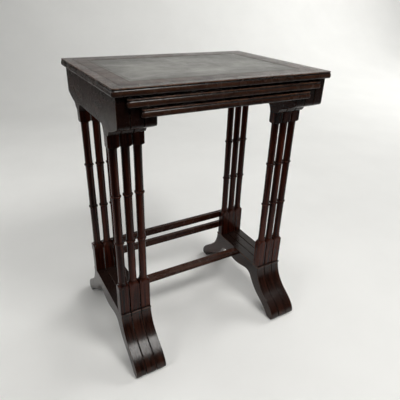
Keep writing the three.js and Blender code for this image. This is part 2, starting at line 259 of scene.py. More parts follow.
# Arrises rubbed pale by hands and cloths, partly a painted highlight on beads, ledge lips and gap edges; quirks,
# corners and gaps get painted shade
def buildScuffShadeAndHighlight():
    group, given, result = makeGroup(
        "scuffShadeAndHighlight",
        [
            ("Vector", vectorKind, None),
            ("Colour", colourKind, (0.5, 0.5, 0.5, 1)),
            ("Scuff and highlight colour", colourKind, (0.2, 0.09, 0.05, 1)),
            ("Shade colour", colourKind, (0.004, 0.003, 0.002, 1)),
            ("Scuffed and highlit", numberKind, 0.0),
            ("Painted shade", numberKind, 0.0),
            ("Scuff and highlight", numberKind, 0.5),
        ],
        [("Colour", colourKind), ("Scuff and highlight mask", numberKind)],
    )
    patches = remap(group, noise(group, given["Vector"], 45.0, 4, 0.65), 0.36, 0.62)
    scuffAndHighlight = compute(group, "MULTIPLY", compute(group, "MULTIPLY", given["Scuffed and highlit"], patches), given["Scuff and highlight"])
    scuffAndHighlight = addNode(group, "ShaderNodeClamp", {0: scuffAndHighlight}).outputs[0]
    shadeBreak = remap(group, noise(group, given["Vector"], 80.0, 3), 0.25, 0.6, 0.45, 1.0)
    paintedShade = compute(group, "MULTIPLY", given["Painted shade"], shadeBreak)
    paleScuffAndHighlight = mixColour(group, scuffAndHighlight, given["Colour"], given["Scuff and highlight colour"])
    feed(group, mixColour(group, paintedShade, paleScuffAndHighlight, given["Shade colour"]), result["Colour"])
    feed(group, scuffAndHighlight, result["Scuff and highlight mask"])
    return group


# Uneven wax and polish: cloudy bloom in the colour, matt patches and fine scratches in the gloss
def buildPolish():
    group, given, result = makeGroup(
        "unevenPolish",
        [
            ("Vector", vectorKind, None),
            ("Colour", colourKind, (0.5, 0.5, 0.5, 1)),
            ("Bloom", colourKind, (0.16, 0.12, 0.11, 1)),
            ("Bloom share", numberKind, 0.2),
            ("Gloss low", numberKind, 0.25),
            ("Gloss high", numberKind, 0.45),
        ],
        [("Colour", colourKind), ("Roughness", numberKind), ("Scratches", numberKind)],
    )
    clouds = noise(group, given["Vector"], 16.0, 5, 0.62)
    bloom = compute(group, "MULTIPLY", remap(group, clouds, 0.42, 0.7), given["Bloom share"])
    feed(group, mixColour(group, bloom, given["Colour"], given["Bloom"]), result["Colour"])
    turning = {"Vector": given["Vector"], "Rotation": (0.3, 0.2, 0.9)}
    turned = addNode(group, "ShaderNodeMapping", turning).outputs[0]
    scratchField = noise(group, stretch(group, turned, (30, 1500, 900)), 1.0, 1)
    scratches = remap(group, scratchField, 0.68, 0.76)
    rubs = noise(group, given["Vector"], 34.0, 4, 0.6)
    gloss = addNode(
        group,
        "ShaderNodeMapRange",
        {0: rubs, 1: 0.3, 2: 0.7, 3: given["Gloss low"], 4: given["Gloss high"]},
    ).outputs[0]
    feed(group, compute(group, "ADD", gloss, compute(group, "MULTIPLY", scratches, 0.12)), result["Roughness"])
    feed(group, scratches, result["Scratches"])
    return group


# Fine dust settled on what faces up
def buildDust():
    group, given, result = makeGroup(
        "settledDust",
        [
            ("Vector", vectorKind, None),
            ("Normal", vectorKind, None),
            ("Colour", colourKind, (0.5, 0.5, 0.5, 1)),
            ("Dust", colourKind, (0.3, 0.29, 0.27, 1)),
            ("Amount", numberKind, 0.1),
        ],
        [("Colour", colourKind), ("Dust mask", numberKind)],
    )
    facing = addNode(group, "ShaderNodeSeparateXYZ", {0: given["Normal"]}).outputs[2]
    lying = remap(group, facing, 0.5, 0.95)
    drift = remap(group, noise(group, given["Vector"], 26.0, 5, 0.7), 0.35, 0.7, 0.35, 1.0)
    mask = compute(group, "MULTIPLY", compute(group, "MULTIPLY", lying, drift), given["Amount"])
    feed(group, mixColour(group, mask, given["Colour"], given["Dust"]), result["Colour"])
    feed(group, mask, result["Dust mask"])
    return group


figureGroup = buildFigure()
scuffShadeAndHighlightGroup = buildScuffShadeAndHighlight()
polishGroup = buildPolish()
dustGroup = buildDust()


# Finishes
def startMaterial(name):
    material = bpy.data.materials.new(name)
    material.use_nodes = True
    tree = material.node_tree
    place = tree.nodes.new("ShaderNodeTexCoord").outputs["Object"]
    return material, tree, tree.nodes["Principled BSDF"], place


# How far a place lies outside a rectangle round the middle of a top, at its sides and at its ends
def pastEdges(tree, place, halfX, halfY, middleY):
    centred = shift(tree, place, (0.0, -middleY, 0.0))
    parts = addNode(tree, "ShaderNodeSeparateXYZ", {0: centred}).outputs
    fromSide = compute(tree, "SUBTRACT", compute(tree, "ABSOLUTE", parts[0]), halfX)
    fromEnd = compute(tree, "SUBTRACT", compute(tree, "ABSOLUTE", parts[1]), halfY)
    return fromSide, fromEnd


def attributeOf(tree, name):
    return addNode(tree, "ShaderNodeAttribute", attribute_name=name).outputs["Fac"]


def addBump(tree, principled, height, distance, strength=1.0):
    bump = addNode(tree, "ShaderNodeBump", {"Height": height, "Distance": distance, "Strength": strength})
    tree.links.new(bump.outputs[0], principled.inputs["Normal"])


quarterTurn = math.pi / 2
polishing = {
    "coatRoughness": 0.16,
    "scratchShare": 0.4,        # how deep scratches bite beside the pores
    "fibreShare": 0.35,
    "dustRoughness": 0.6,
    "endGrain": (0.6, 0.95),    # where a face turns from side grain to end grain
}

# The pale scuff colour also serves as a painted highlight on beads and ledge lips
woods = {
    "mahoganyTop": {
        "grain": (1, 0, 0), "turn": (0, 0, 0), "scale": (1, 1, 1),         # along the length of the top
        "dark": (0.012, 0.0048, 0.0032, 1), "warm": (0.046, 0.0165, 0.0085, 1), "paleScuffAndHighlight": (0.105, 0.046, 0.024, 1),
        "bloom": (0.07, 0.045, 0.035, 1), "bloomShare": 0.12, "gloss": (0.20, 0.32), "coat": 0.05, "dust": 0.04,
        "scuffAndHighlight": 0.8, "sheen": 0.25, "ripple": 0.00008,
    },
    "mahoganyBoard": {
        "grain": (0, 1, 0), "turn": (0, 0, quarterTurn), "scale": (1, 1, 1),     # from front to back
        "dark": (0.0095, 0.0030, 0.0019, 1), "warm": (0.036, 0.0120, 0.0072, 1), "paleScuffAndHighlight": (0.09, 0.040, 0.026, 1),
        "bloom": (0.040, 0.018, 0.014, 1), "bloomShare": 0.12, "gloss": (0.19, 0.30), "coat": 0.0, "dust": 0.03,
        "scuffAndHighlight": 0.4, "sheen": 0.18, "ripple": 0.00005,
    },
    "mahoganyFoot": {
        "grain": (0, 0, 1), "turn": (0, quarterTurn, 0), "scale": (1.9, 0.08, 1.9),  # down the toes
        "dark": (0.0095, 0.0032, 0.0020, 1), "warm": (0.0340, 0.0115, 0.0068, 1), "paleScuffAndHighlight": (0.09, 0.042, 0.028, 1),
        "bloom": (0.035, 0.017, 0.013, 1), "bloomShare": 0.12, "gloss": (0.17, 0.27), "coat": 0.0, "dust": 0.02,
        "scuffAndHighlight": 0.7, "sheen": 0.29, "ripple": 0.00005,
    },
    "mahoganyRail": {
        "grain": (1, 0, 0), "turn": (0, 0, 0), "scale": (1.4, 1.4, 1.4),
        "dark": (0.012, 0.0034, 0.0019, 1), "warm": (0.052, 0.0155, 0.0075, 1), "paleScuffAndHighlight": (0.12, 0.050, 0.028, 1),
        "bloom": (0.05, 0.026, 0.02, 1), "bloomShare": 0.1, "gloss": (0.20, 0.32), "coat": 0.0, "dust": 0.04,
        "scuffAndHighlight": 0.4, "sheen": 0.15, "ripple": 0.00005,
    },
    "mahoganyTurned": {
        "grain": (0, 0, 1), "turn": (0, quarterTurn, 0), "scale": (1.6, 1.6, 1.6),   # up the legs
        "dark": (0.0100, 0.0021, 0.0012, 1), "warm": (0.062, 0.0125, 0.0058, 1), "paleScuffAndHighlight": (0.10, 0.034, 0.018, 1),
        "bloom": (0.04, 0.014, 0.009, 1), "bloomShare": 0.06, "gloss": (0.13, 0.21), "coat": 0.0, "dust": 0.02,
        "scuffAndHighlight": 0.5, "sheen": 0.17, "ripple": 0.00004,
    },
}


def makeWood(name, look):
    material, tree, principled, place = startMaterial(name)
    turning = {"Vector": place, "Rotation": look["turn"], "Scale": look["scale"]}
    along = addNode(tree, "ShaderNodeMapping", turning).outputs[0]
    facing = tree.nodes.new("ShaderNodeNewGeometry").outputs["Normal"]
    cutAcross = addNode(tree, "ShaderNodeVectorMath", {0: facing, 1: look["grain"]}, operation="DOT_PRODUCT")
    endGrain = remap(tree, compute(tree, "ABSOLUTE", cutAcross.outputs["Value"]), *polishing["endGrain"])
    figure = useGroup(tree, figureGroup, {
        "Vector": along, "Dark": look["dark"], "Warm": look["warm"], "Pore depth": 0.6, "End grain": endGrain,
    })
    polish = useGroup(tree, polishGroup, {
        "Vector": place, "Colour": figure["Colour"], "Bloom": look["bloom"], "Bloom share": look["bloomShare"],
        "Gloss low": look["gloss"][0], "Gloss high": look["gloss"][1],
    })
    # Pale scuffs, partly a painted highlight, and painted shade, from the marks on the mesh
    scuffedShadedAndHighlit = useGroup(tree, scuffShadeAndHighlightGroup, {
        "Vector": place, "Colour": polish["Colour"], "Scuff and highlight colour": look["paleScuffAndHighlight"],
        "Scuffed and highlit": attributeOf(tree, "scuffedAndHighlit"), "Painted shade": attributeOf(tree, "shadeAndTooledLine"), "Scuff and highlight": look["scuffAndHighlight"],
    })
    dusted = useGroup(tree, dustGroup, {
        "Vector": place, "Normal": facing, "Colour": scuffedShadedAndHighlit["Colour"], "Amount": look["dust"],
    })
    tree.links.new(dusted["Colour"], principled.inputs["Base Color"])
    dulled = compute(tree, "MULTIPLY", dusted["Dust mask"], polishing["dustRoughness"])
    rough = compute(tree, "ADD", polish["Roughness"], dulled)
    tree.links.new(rough, principled.inputs["Roughness"])
    scratches = compute(tree, "MULTIPLY", polish["Scratches"], polishing["scratchShare"])
    pits = compute(tree, "ADD", figure["Pores"], scratches)
    ripple = compute(tree, "MULTIPLY", figure["Fibre"], polishing["fibreShare"])
    addBump(tree, principled, compute(tree, "SUBTRACT", ripple, pits), look["ripple"])
    principled.inputs["Specular IOR Level"].default_value = look["sheen"]
    principled.inputs["Coat Weight"].default_value = look["coat"]
    principled.inputs["Coat Roughness"].default_value = polishing["coatRoughness"]
    return material


bandLook = {
    "dark": (0.015, 0.0062, 0.0042, 1), "warm": (0.052, 0.023, 0.015, 1),
    "bloom": (0.09, 0.065, 0.055, 1), "bloomShare": 0.16, "gloss": (0.26, 0.40), "coat": 0.05, "dust": 0.04,
    "sheen": 0.25,
}


# Crossbanding: the grain runs across the band, so it turns at the mitred corners
def makeCrossbanding(name, look, halfX, halfY, middleY):
    material, tree, principled, place = startMaterial(name)
    fromSide, fromEnd = pastEdges(tree, place, halfX, halfY, middleY)
    onEnds = compute(tree, "GREATER_THAN", fromEnd, fromSide)
    turned = addNode(tree, "ShaderNodeMapping", {"Vector": place, "Rotation": (0, 0, quarterTurn)}).outputs[0]
    along = addNode(tree, "ShaderNodeMix", {0: onEnds, 4: place, 5: turned}, data_type="VECTOR").outputs[1]
    figure = useGroup(tree, figureGroup, {
        "Vector": along, "Dark": look["dark"], "Warm": look["warm"], "Pore depth": 0.5,
    })
    polish = useGroup(tree, polishGroup, {
        "Vector": place, "Colour": figure["Colour"], "Bloom": look["bloom"], "Bloom share": look["bloomShare"],
        "Gloss low": look["gloss"][0], "Gloss high": look["gloss"][1],
    })
    facing = tree.nodes.new("ShaderNodeNewGeometry").outputs["Normal"]
    dusted = useGroup(tree, dustGroup, {
        "Vector": place, "Normal": facing, "Colour": polish["Colour"], "Amount": look["dust"],
    })
    tree.links.new(dusted["Colour"], principled.inputs["Base Color"])
    tree.links.new(polish["Roughness"], principled.inputs["Roughness"])
    scratches = compute(tree, "MULTIPLY", polish["Scratches"], polishing["scratchShare"])
    pits = compute(tree, "ADD", figure["Pores"], scratches)
    addBump(tree, principled, compute(tree, "MULTIPLY", pits, -1.0), 0.00008)
    principled.inputs["Specular IOR Level"].default_value = look["sheen"]
    principled.inputs["Coat Weight"].default_value = look["coat"]
    principled.inputs["Coat Roughness"].default_value = polishing["coatRoughness"]
    return material


lineLook = {
    "ebony": (0.012, 0.010, 0.009, 1),
    "boxwood": (0.095, 0.068, 0.044, 1),
    "ebonyWidth": 0.0012,
    "bloom": (0.13, 0.11, 0.09, 1), "bloomShare": 0.3, "gloss": (0.3, 0.46), "sheen": 0.1,
}


# Stringing: a black line outside and a pale one inside it, both under old polish
def makeLine(name, look, inner, splitX, splitY, middleY):
    material, tree, principled, place = startMaterial(name)
    fromSide, fromEnd = pastEdges(tree, place, splitX, splitY, middleY)
    outside = compute(tree, "GREATER_THAN", compute(tree, "MAXIMUM", fromSide, fromEnd), 0.0)
    speckle = remap(tree, noise(tree, place, 420.0, 3), 0.3, 0.7, 0.75, 1.15)
    line = mixColour(tree, outside, look[inner], look["ebony"])
    line = mixColour(tree, 1.0, line, greyOf(tree, speckle), "MULTIPLY")
    polish = useGroup(tree, polishGroup, {
        "Vector": place, "Colour": line, "Bloom": look["bloom"], "Bloom share": look["bloomShare"],
        "Gloss low": look["gloss"][0], "Gloss high": look["gloss"][1],
    })
    tree.links.new(polish["Colour"], principled.inputs["Base Color"])
    tree.links.new(polish["Roughness"], principled.inputs["Roughness"])
    addBump(tree, principled, polish["Scratches"], 0.00005, 0.5)
    principled.inputs["Specular IOR Level"].default_value = look["sheen"]
    return material


# The lining's pale grey stands partly for a painted reflection of a bright room on dark leather
leatherLook = {
    "darkerHideAndReflection": (0.170, 0.167, 0.156, 1), "palerHideAndReflection": (0.275, 0.271, 0.253, 1), "crease": (0.035, 0.034, 0.030, 1),
    "rim": (0.040, 0.042, 0.036, 1), "rimReach": 0.07, "rimShare": 0.40, "toolLineAndShade": (0.018, 0.015, 0.012, 1),
    "bloom": (0.2, 0.2, 0.19, 1), "bloomShare": 0.22, "gloss": (0.36, 0.52), "dust": 0.06,
    "pebbleScale": 900.0, "pebbleDepth": 0.00012,
}


# Faded in the middle and darker towards the rim, with creases and a pebbled grain
def makeLeather(name, look, halfX, halfY, middleY):
    material, tree, principled, place = startMaterial(name)
    fade = noise(tree, stretch(tree, place, (5, 9, 9)), 1.0, 5, 0.6)
    hide = mixColour(tree, remap(tree, fade, 0.32, 0.66), look["darkerHideAndReflection"], look["palerHideAndReflection"])
    fromSide, fromEnd = pastEdges(tree, place, halfX, halfY, middleY)
    inward = compute(tree, "MULTIPLY", compute(tree, "MAXIMUM", fromSide, fromEnd), -1.0)
    inward = compute(tree, "ADD", inward, remap(tree, fade, 0.3, 0.7, -0.03, 0.03))
    rim = remap(tree, inward, 0.0, look["rimReach"], look["rimShare"], 0.0)
    hide = mixColour(tree, rim, hide, look["rim"])
    streaks = noise(tree, stretch(tree, place, (12, 130, 130)), 1.0, 4, 0.62)
    streakTone = remap(tree, streaks, 0.3, 0.7, 0.82, 1.14)
    pebbles = {"Vector": place, "Scale": look["pebbleScale"]}
    grains = addNode(tree, "ShaderNodeTexVoronoi", pebbles, feature="DISTANCE_TO_EDGE").outputs["Distance"]
    valleys = remap(tree, grains, 0.0, 0.12, 1.0, 0.0)
    valleyTone = compute(tree, "SUBTRACT", 1.0, compute(tree, "MULTIPLY", valleys, 0.3))
    tone = compute(tree, "MULTIPLY", streakTone, valleyTone)
    hide = mixColour(tree, 1.0, hide, greyOf(tree, tone), "MULTIPLY")
    creaseField = noise(tree, stretch(tree, place, (40, 26, 30)), 1.0, 6, 0.7)
    offCrease = compute(tree, "ABSOLUTE", compute(tree, "SUBTRACT", creaseField, 0.5))
    creases = remap(tree, offCrease, 0.0, 0.02, 1.0, 0.0)
    hide = mixColour(tree, compute(tree, "MULTIPLY", creases, 0.35), hide, look["crease"])
    # Tooled lines darkened, and painted shade on the rolled edge
    hide = mixColour(tree, attributeOf(tree, "shadeAndTooledLine"), hide, look["toolLineAndShade"])
    polish = useGroup(tree, polishGroup, {
        "Vector": place, "Colour": hide, "Bloom": look["bloom"], "Bloom share": look["bloomShare"],
        "Gloss low": look["gloss"][0], "Gloss high": look["gloss"][1],
    })
    facing = tree.nodes.new("ShaderNodeNewGeometry").outputs["Normal"]
    dusted = useGroup(tree, dustGroup, {
        "Vector": place, "Normal": facing, "Colour": polish["Colour"], "Amount": look["dust"],
    })
    tree.links.new(dusted["Colour"], principled.inputs["Base Color"])
    tree.links.new(polish["Roughness"], principled.inputs["Roughness"])
    pebble = compute(tree, "ADD", valleys, compute(tree, "MULTIPLY", creases, 0.6))
    addBump(tree, principled, compute(tree, "MULTIPLY", pebble, -1.0), look["pebbleDepth"], 0.8)
    return material


beechLook = {"dark": (0.30, 0.16, 0.08, 1), "warm": (0.52, 0.33, 0.18, 1), "gloss": (0.6, 0.8)}


def makeBeech(name, look):
    material, tree, principled, place = startMaterial(name)
    along = addNode(tree, "ShaderNodeMapping", {"Vector": place, "Rotation": (0, quarterTurn, 0)}).outputs[0]
    figure = useGroup(tree, figureGroup, {
        "Vector": along, "Dark": look["dark"], "Warm": look["warm"], "Pore depth": 0.25,
    })
    tree.links.new(figure["Colour"], principled.inputs["Base Color"])
    tree.links.new(remap(tree, figure["Fibre"], 0.3, 0.7, *look["gloss"]), principled.inputs["Roughness"])
    addBump(tree, principled, figure["Fibre"], 0.0001)
    return material


brassLook = {
    "bright": (0.50, 0.33, 0.13, 1), "tarnish": (0.16, 0.10, 0.045, 1), "paleScuffAndHighlight": (0.66, 0.48, 0.22, 1),
    "paintedShade": (0.02, 0.014, 0.008, 1), "scuffAndHighlight": 0.6, "gloss": (0.28, 0.55),
}


def makeBrass(name, look):
    material, tree, principled, place = startMaterial(name)
    tarnish = remap(tree, noise(tree, place, 260.0, 4, 0.6), 0.35, 0.65)
    metal = mixColour(tree, tarnish, look["bright"], look["tarnish"])
    scuffedShadedAndHighlit = useGroup(tree, scuffShadeAndHighlightGroup, {
        "Vector": place, "Colour": metal, "Scuff and highlight colour": look["paleScuffAndHighlight"], "Shade colour": look["paintedShade"],
        "Scuffed and highlit": attributeOf(tree, "scuffedAndHighlit"), "Painted shade": attributeOf(tree, "shadeAndTooledLine"), "Scuff and highlight": look["scuffAndHighlight"],
    })
    tree.links.new(scuffedShadedAndHighlit["Colour"], principled.inputs["Base Color"])
    tree.links.new(remap(tree, tarnish, 0.0, 1.0, *look["gloss"]), principled.inputs["Roughness"])
    addBump(tree, principled, tarnish, 0.00005)
    principled.inputs["Metallic"].default_value = 1.0
    return material


# The floor looks pale all over and melts into the air far off,
# but gives back little light from in front or from far to the left
def makeFloor(name, look):
    material, tree, principled, place = startMaterial(name)
    mottle = remap(tree, noise(tree, place, 2.5, 4, 0.6), 0.3, 0.7, 0.985, 1.015)
    heading = math.radians(cameraView["azimuth"])
    ahead = (-math.sin(heading), math.cos(heading), 0.0)
    across = (math.cos(heading), math.sin(heading), 0.0)
    depth, side = (
        addNode(tree, "ShaderNodeVectorMath", {0: place, 1: way}, operation="DOT_PRODUCT").outputs["Value"]
        for way in (ahead, across)
    )
    pale = remap(tree, depth, look["frontFade"][0], look["frontFade"][1])
    pale = compute(tree, "MULTIPLY", pale, remap(tree, side, look["leftFade"][0], look["leftFade"][1]))
    seen = tree.nodes.new("ShaderNodeLightPath").outputs["Is Camera Ray"]
    pale = compute(tree, "MAXIMUM", pale, seen)
    hazeAhead = remap(tree, depth, look["frontHaze"][0], look["frontHaze"][1])
    hazeAside = remap(tree, compute(tree, "ABSOLUTE", side), look["sideHaze"][0], look["sideHaze"][1])
    haze = compute(tree, "MULTIPLY", compute(tree, "MAXIMUM", hazeAhead, hazeAside), seen)
    colour = mixColour(tree, pale, look["frontColour"], look["floorColour"])
    colour = mixColour(tree, 1.0, colour, greyOf(tree, mottle), "MULTIPLY")
    tree.links.new(mixColour(tree, haze, colour, (0, 0, 0, 1)), principled.inputs["Base Color"])
    tree.links.new(mixColour(tree, haze, (0, 0, 0, 1), look["seenAir"]), principled.inputs["Emission Color"])
    principled.inputs["Emission Strength"].default_value = 1.0
    principled.inputs["Roughness"].default_value = 0.7
    principled.inputs["Specular IOR Level"].default_value = 0.2
    return material


# Soft air light: full from above and behind, little from low in front
def makeAir(look):
    air = bpy.data.worlds.new("studioAir")
    air.use_nodes = True
    tree = air.node_tree
    heading = tree.nodes.new("ShaderNodeTexCoord").outputs["Generated"]
    parts = addNode(tree, "ShaderNodeSeparateXYZ", {0: heading}).outputs
    rise = compute(tree, "MULTIPLY", parts[2], 0.85)
    rise = compute(tree, "ADD", rise, compute(tree, "MULTIPLY", parts[1], 0.5))
    strength = remap(tree, rise, -0.25, 0.75, look["airInFront"], look["airAbove"])
    soft = tree.nodes["Background"]
    feed(tree, look["airColour"], soft.inputs["Color"])
    feed(tree, strength, soft.inputs["Strength"])
    seen = addNode(tree, "ShaderNodeBackground", {"Color": look["seenAir"], "Strength": 1.0})
    fromCamera = tree.nodes.new("ShaderNodeLightPath").outputs["Is Camera Ray"]
    both = addNode(tree, "ShaderNodeMixShader", {0: fromCamera, 1: soft.outputs[0], 2: seen.outputs[0]})
    tree.links.new(both.outputs[0], tree.nodes["World Output"].inputs["Surface"])
    bpy.context.scene.world = air


makeAir(studio)
woodMaterials = {name: makeWood(name, look) for name, look in woods.items()}
beechMaterial = makeBeech("beechDowel", beechLook)
brassMaterial = makeBrass("agedBrass", brassLook)
print("stage: finishes made")


# Mesh helpers
shading = {
    "sharpAngle": math.radians(38),
    "flatWeight": 50,
}


def meshFromBmesh(name, work):
    bmesh.ops.recalc_face_normals(work, faces=work.faces)
    mesh = bpy.data.meshes.new(name)
    work.to_mesh(mesh)
    work.free()
    return mesh


def evaluatedMesh(holder, name):
    shaped = holder.evaluated_get(bpy.context.evaluated_depsgraph_get())
    mesh = bpy.data.meshes.new_from_object(shaped)
    mesh.name = name
    return mesh


# Rounded parts shade smoothly and flat parts stay flat
def settleShading(holder):
    mesh = holder.data
    mesh.shade_smooth()
    mesh.set_sharp_from_angle(angle=shading["sharpAngle"])
    weighted = holder.modifiers.new("flatFaces", "WEIGHTED_NORMAL")
    weighted.weight = shading["flatWeight"]
    weighted.keep_sharp = True
    flat = evaluatedMesh(holder, mesh.name)
    holder.modifiers.remove(weighted)
    holder.data = flat
    bpy.data.meshes.remove(mesh)


def addPiece(name, mesh, body, material, nodes):
    piece = bpy.data.objects.new(name, mesh)
    bpy.context.scene.collection.objects.link(piece)
    settleShading(piece)
    piece.data.materials.clear()
    piece.data.materials.append(material)
    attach(piece, body)
    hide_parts(*nodes)


def bezier(first, second, third, fourth, steps):
    points = []
    for step in range(1, steps + 1):
        t = step / steps
        weights = ((1 - t) ** 3, 3 * t * (1 - t) ** 2, 3 * t * t * (1 - t), t ** 3)
        points.append(tuple(
            sum(weight * point[axis] for weight, point in zip(weights, (first, second, third, fourth)))
            for axis in (0, 1)
        ))
    return points


def bend(first, pull, last, steps):
    second = tuple(a + (b - a) * 2 / 3 for a, b in zip(first, pull))
    third = tuple(a + (b - a) * 2 / 3 for a, b in zip(last, pull))
    return bezier(first, second, third, last, steps)


# A half outline in (y, z), given from the centre line, sawn from a board and its arrises eased
def sawnBoard(name, halfOutline, middleY, lowX, highX, easing):
    half = [(middleY + y, z) for y, z in halfOutline]
    other = [(2 * middleY - y, z) for y, z in reversed(half[1:-1])]
    work = bmesh.new()
    corners = [work.verts.new((lowX, y, z)) for y, z in half + other]
    face = work.faces.new(corners)
    pushed = bmesh.ops.extrude_face_region(work, geom=[face])["geom"]
    moved = [item for item in pushed if isinstance(item, bmesh.types.BMVert)]
    bmesh.ops.translate(work, verts=moved, vec=(highX - lowX, 0, 0))
    bmesh.ops.recalc_face_normals(work, faces=work.faces)
    work.edges.ensure_lookup_table()
    onSides = [edge for edge in work.edges if edge.verts[0].co.x == edge.verts[1].co.x]
    arrises = [edge for edge in onSides if edge.calc_face_angle(0) > math.radians(30)]
    bmesh.ops.bevel(
        work, geom=arrises, offset=easing, segments=3, profile=0.5, affect="EDGES", clamp_overlap=False,
    )
    return meshFromBmesh(name, work)


def addBox(work, middle, size):
    bmesh.ops.create_cube(work, size=1.0, matrix=Matrix.Translation(middle) @ Matrix.Diagonal((*size, 1)))


def boxMesh(name, low, high):
    work = bmesh.new()
    addBox(work, (Vector(high) + Vector(low)) / 2, Vector(high) - Vector(low))
    return meshFromBmesh(name, work)


# Closed skin over rows of vertices, each row a loop with the same count
def skinRows(work, rows):
    for lower, upper in zip(rows, rows[1:]):
        for index, corner in enumerate(lower):
            after = (index + 1) % len(lower)
            work.faces.new((corner, lower[after], upper[after], upper[index]))
    work.faces.new(rows[0][::-1])
    work.faces.new(rows[-1])


def barMesh(name, centre, radius, lowZ, highZ):
    work = bmesh.new()
    place = Matrix.Translation((centre[0], centre[1], (lowZ + highZ) / 2))
    bmesh.ops.create_cone(
        work, cap_ends=True, segments=40, radius1=radius, radius2=radius, depth=highZ - lowZ, matrix=place,
    )
    return meshFromBmesh(name, work)


# Cuts holes, sockets and grooves out of a mesh
def cutAway(mesh, cutters):
    holder = bpy.data.objects.new("beingCut", mesh)
    bpy.context.scene.collection.objects.link(holder)
    tools = []
    for cutter in cutters:
        tool = bpy.data.objects.new("cutter", cutter)
        bpy.context.scene.collection.objects.link(tool)
        cut = holder.modifiers.new("cut", "BOOLEAN")
        cut.operation = "DIFFERENCE"
        cut.solver = "EXACT"
        cut.object = tool
        tools.append(tool)
    name = mesh.name
    result = evaluatedMesh(holder, name)
    holder.modifiers.clear()
    for tool in tools:
        spent = tool.data
        bpy.data.objects.remove(tool)
        bpy.data.meshes.remove(spent)
    bpy.data.objects.remove(holder)
    bpy.data.meshes.remove(mesh)
    result.name = name
    return result


sawnMarks = {
    "shelteredShade": 0.85,     # painted shade on the faces that lie against the next table
}


# Arrises between the two x faces are rubbed pale, partly a painted highlight beside the gaps, and a face that
# lies against the next table gets painted shade
def markSawn(mesh, lowX, highX, easing, sheltered):
    scuffedAndHighlit = mesh.attributes.new("scuffedAndHighlit", "FLOAT", "POINT")
    shadeAndTooledLine = mesh.attributes.new("shadeAndTooledLine", "FLOAT", "POINT")
    for vertex, litScuff, paintedShade in zip(mesh.vertices, scuffedAndHighlit.data, shadeAndTooledLine.data):
        depths = (vertex.co.x - lowX, highX - vertex.co.x)
        litScuff.value = 1.0 if easing * 0.05 < min(depths) < easing * 0.7 else 0.0
        inside = any(closed and depth < easing * 0.3 for closed, depth in zip(sheltered, depths))
        paintedShade.value = sawnMarks["shelteredShade"] if inside else 0.0


# Which of the two x faces of a board lies against the next table in the nest
def shelteredFaces(table, side):
    outward, inward = table["label"] != tableNames[0], table["label"] != tableNames[-1]
    return (outward, inward) if side == "left" else (inward, outward)


joinery = {
    "gap": 0.0002,
    "topTenon": 0.020,
    "footTenon": 0.022,
    "tenonRadius": 0.007,
    "dowelRadius": 0.004,
}


# Sizes read from the frame, for one table
def readTable(label):
    sizes = {"label": label, "body": f"{label}_table"}
    frontLow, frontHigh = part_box(f"{label}_leg_front_left")
    backLow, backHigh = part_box(f"{label}_leg_back_left")
    sizes["middleY"] = (frontLow.y + backHigh.y) / 2
    sizes["legLine"] = (backLow.y + backHigh.y - frontLow.y - frontHigh.y) / 4
    sizes["legDepth"] = frontHigh.y - frontLow.y
    sizes["seat"] = frontHigh.z - joinery["topTenon"]
    sizes["footTop"] = frontLow.z + joinery["footTenon"]
    sizes["top"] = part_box(f"{label}_top_board")
    return sizes


# Moulded tops
topSizes = {
    "cornerRadius": 0.006,
    "cornerSteps": 10,
    "recessInset": 0.022,
    "recessDepth": 0.0015,
    # inset from the widest line, height as a share of the thickness, pale scuff (partly a painted highlight on
    # the bead), painted shade (in the quirk under the bead)
    "edge": [
        (0.0022, 0.000, 0, 0), (0.0012, 0.022, 0, 0), (0.0005, 0.075, 0, 0), (0.0001, 0.145, 0, 0),
        (0.0000, 0.220, 0, 0), (0.0000, 0.300, 0.2, 0), (0.0000, 0.400, 0.3, 0), (0.0001, 0.480, 0.3, 0),
        (0.0004, 0.560, 0.2, 0), (0.0009, 0.640, 0, 0.3), (0.0015, 0.700, 0, 0.9), (0.0021, 0.740, 0, 1.0),
        (0.0024, 0.765, 0, 1.0), (0.0024, 0.820, 0, 1.0), (0.0018, 0.828, 0, 0.6), (0.0013, 0.845, 0.5, 0),
        (0.0010, 0.870, 1, 0), (0.00095, 0.905, 1, 0), (0.0010, 0.940, 1, 0), (0.0013, 0.970, 1, 0),
        (0.0018, 0.990, 1, 0), (0.0025, 1.000, 0.8, 0), (0.0050, 1.000, 0.2, 0),
    ],
}


def roundedLoop(middle, halfX, halfY, radius, steps):
    points = []
    for quarter, (signX, signY) in enumerate([(1, 1), (-1, 1), (-1, -1), (1, -1)]):
        for step in range(steps + 1):
            angle = (quarter + step / steps) * quarterTurn
            points.append((
                middle[0] + signX * (halfX - radius) + radius * math.cos(angle),
                middle[1] + signY * (halfY - radius) + radius * math.sin(angle),
            ))
    return points


# Closed stack of loops, each (points, height, pale scuff and painted highlight, painted shade and tooling), from
# the underside round to the top
def stackLoops(name, loops):
    work = bmesh.new()
    scuffedAndHighlitLayer = work.verts.layers.float.new("scuffedAndHighlit")
    shadeAndTooledLineLayer = work.verts.layers.float.new("shadeAndTooledLine")
    rows = []
    for points, height, scuffedAndHighlit, shadeAndTooledLine in loops:
        row = []
        for x, y in points:
            vertex = work.verts.new((x, y, height))
            vertex[scuffedAndHighlitLayer] = scuffedAndHighlit
            vertex[shadeAndTooledLineLayer] = shadeAndTooledLine
            row.append(vertex)
        rows.append(row)
    skinRows(work, rows)
    return meshFromBmesh(name, work)


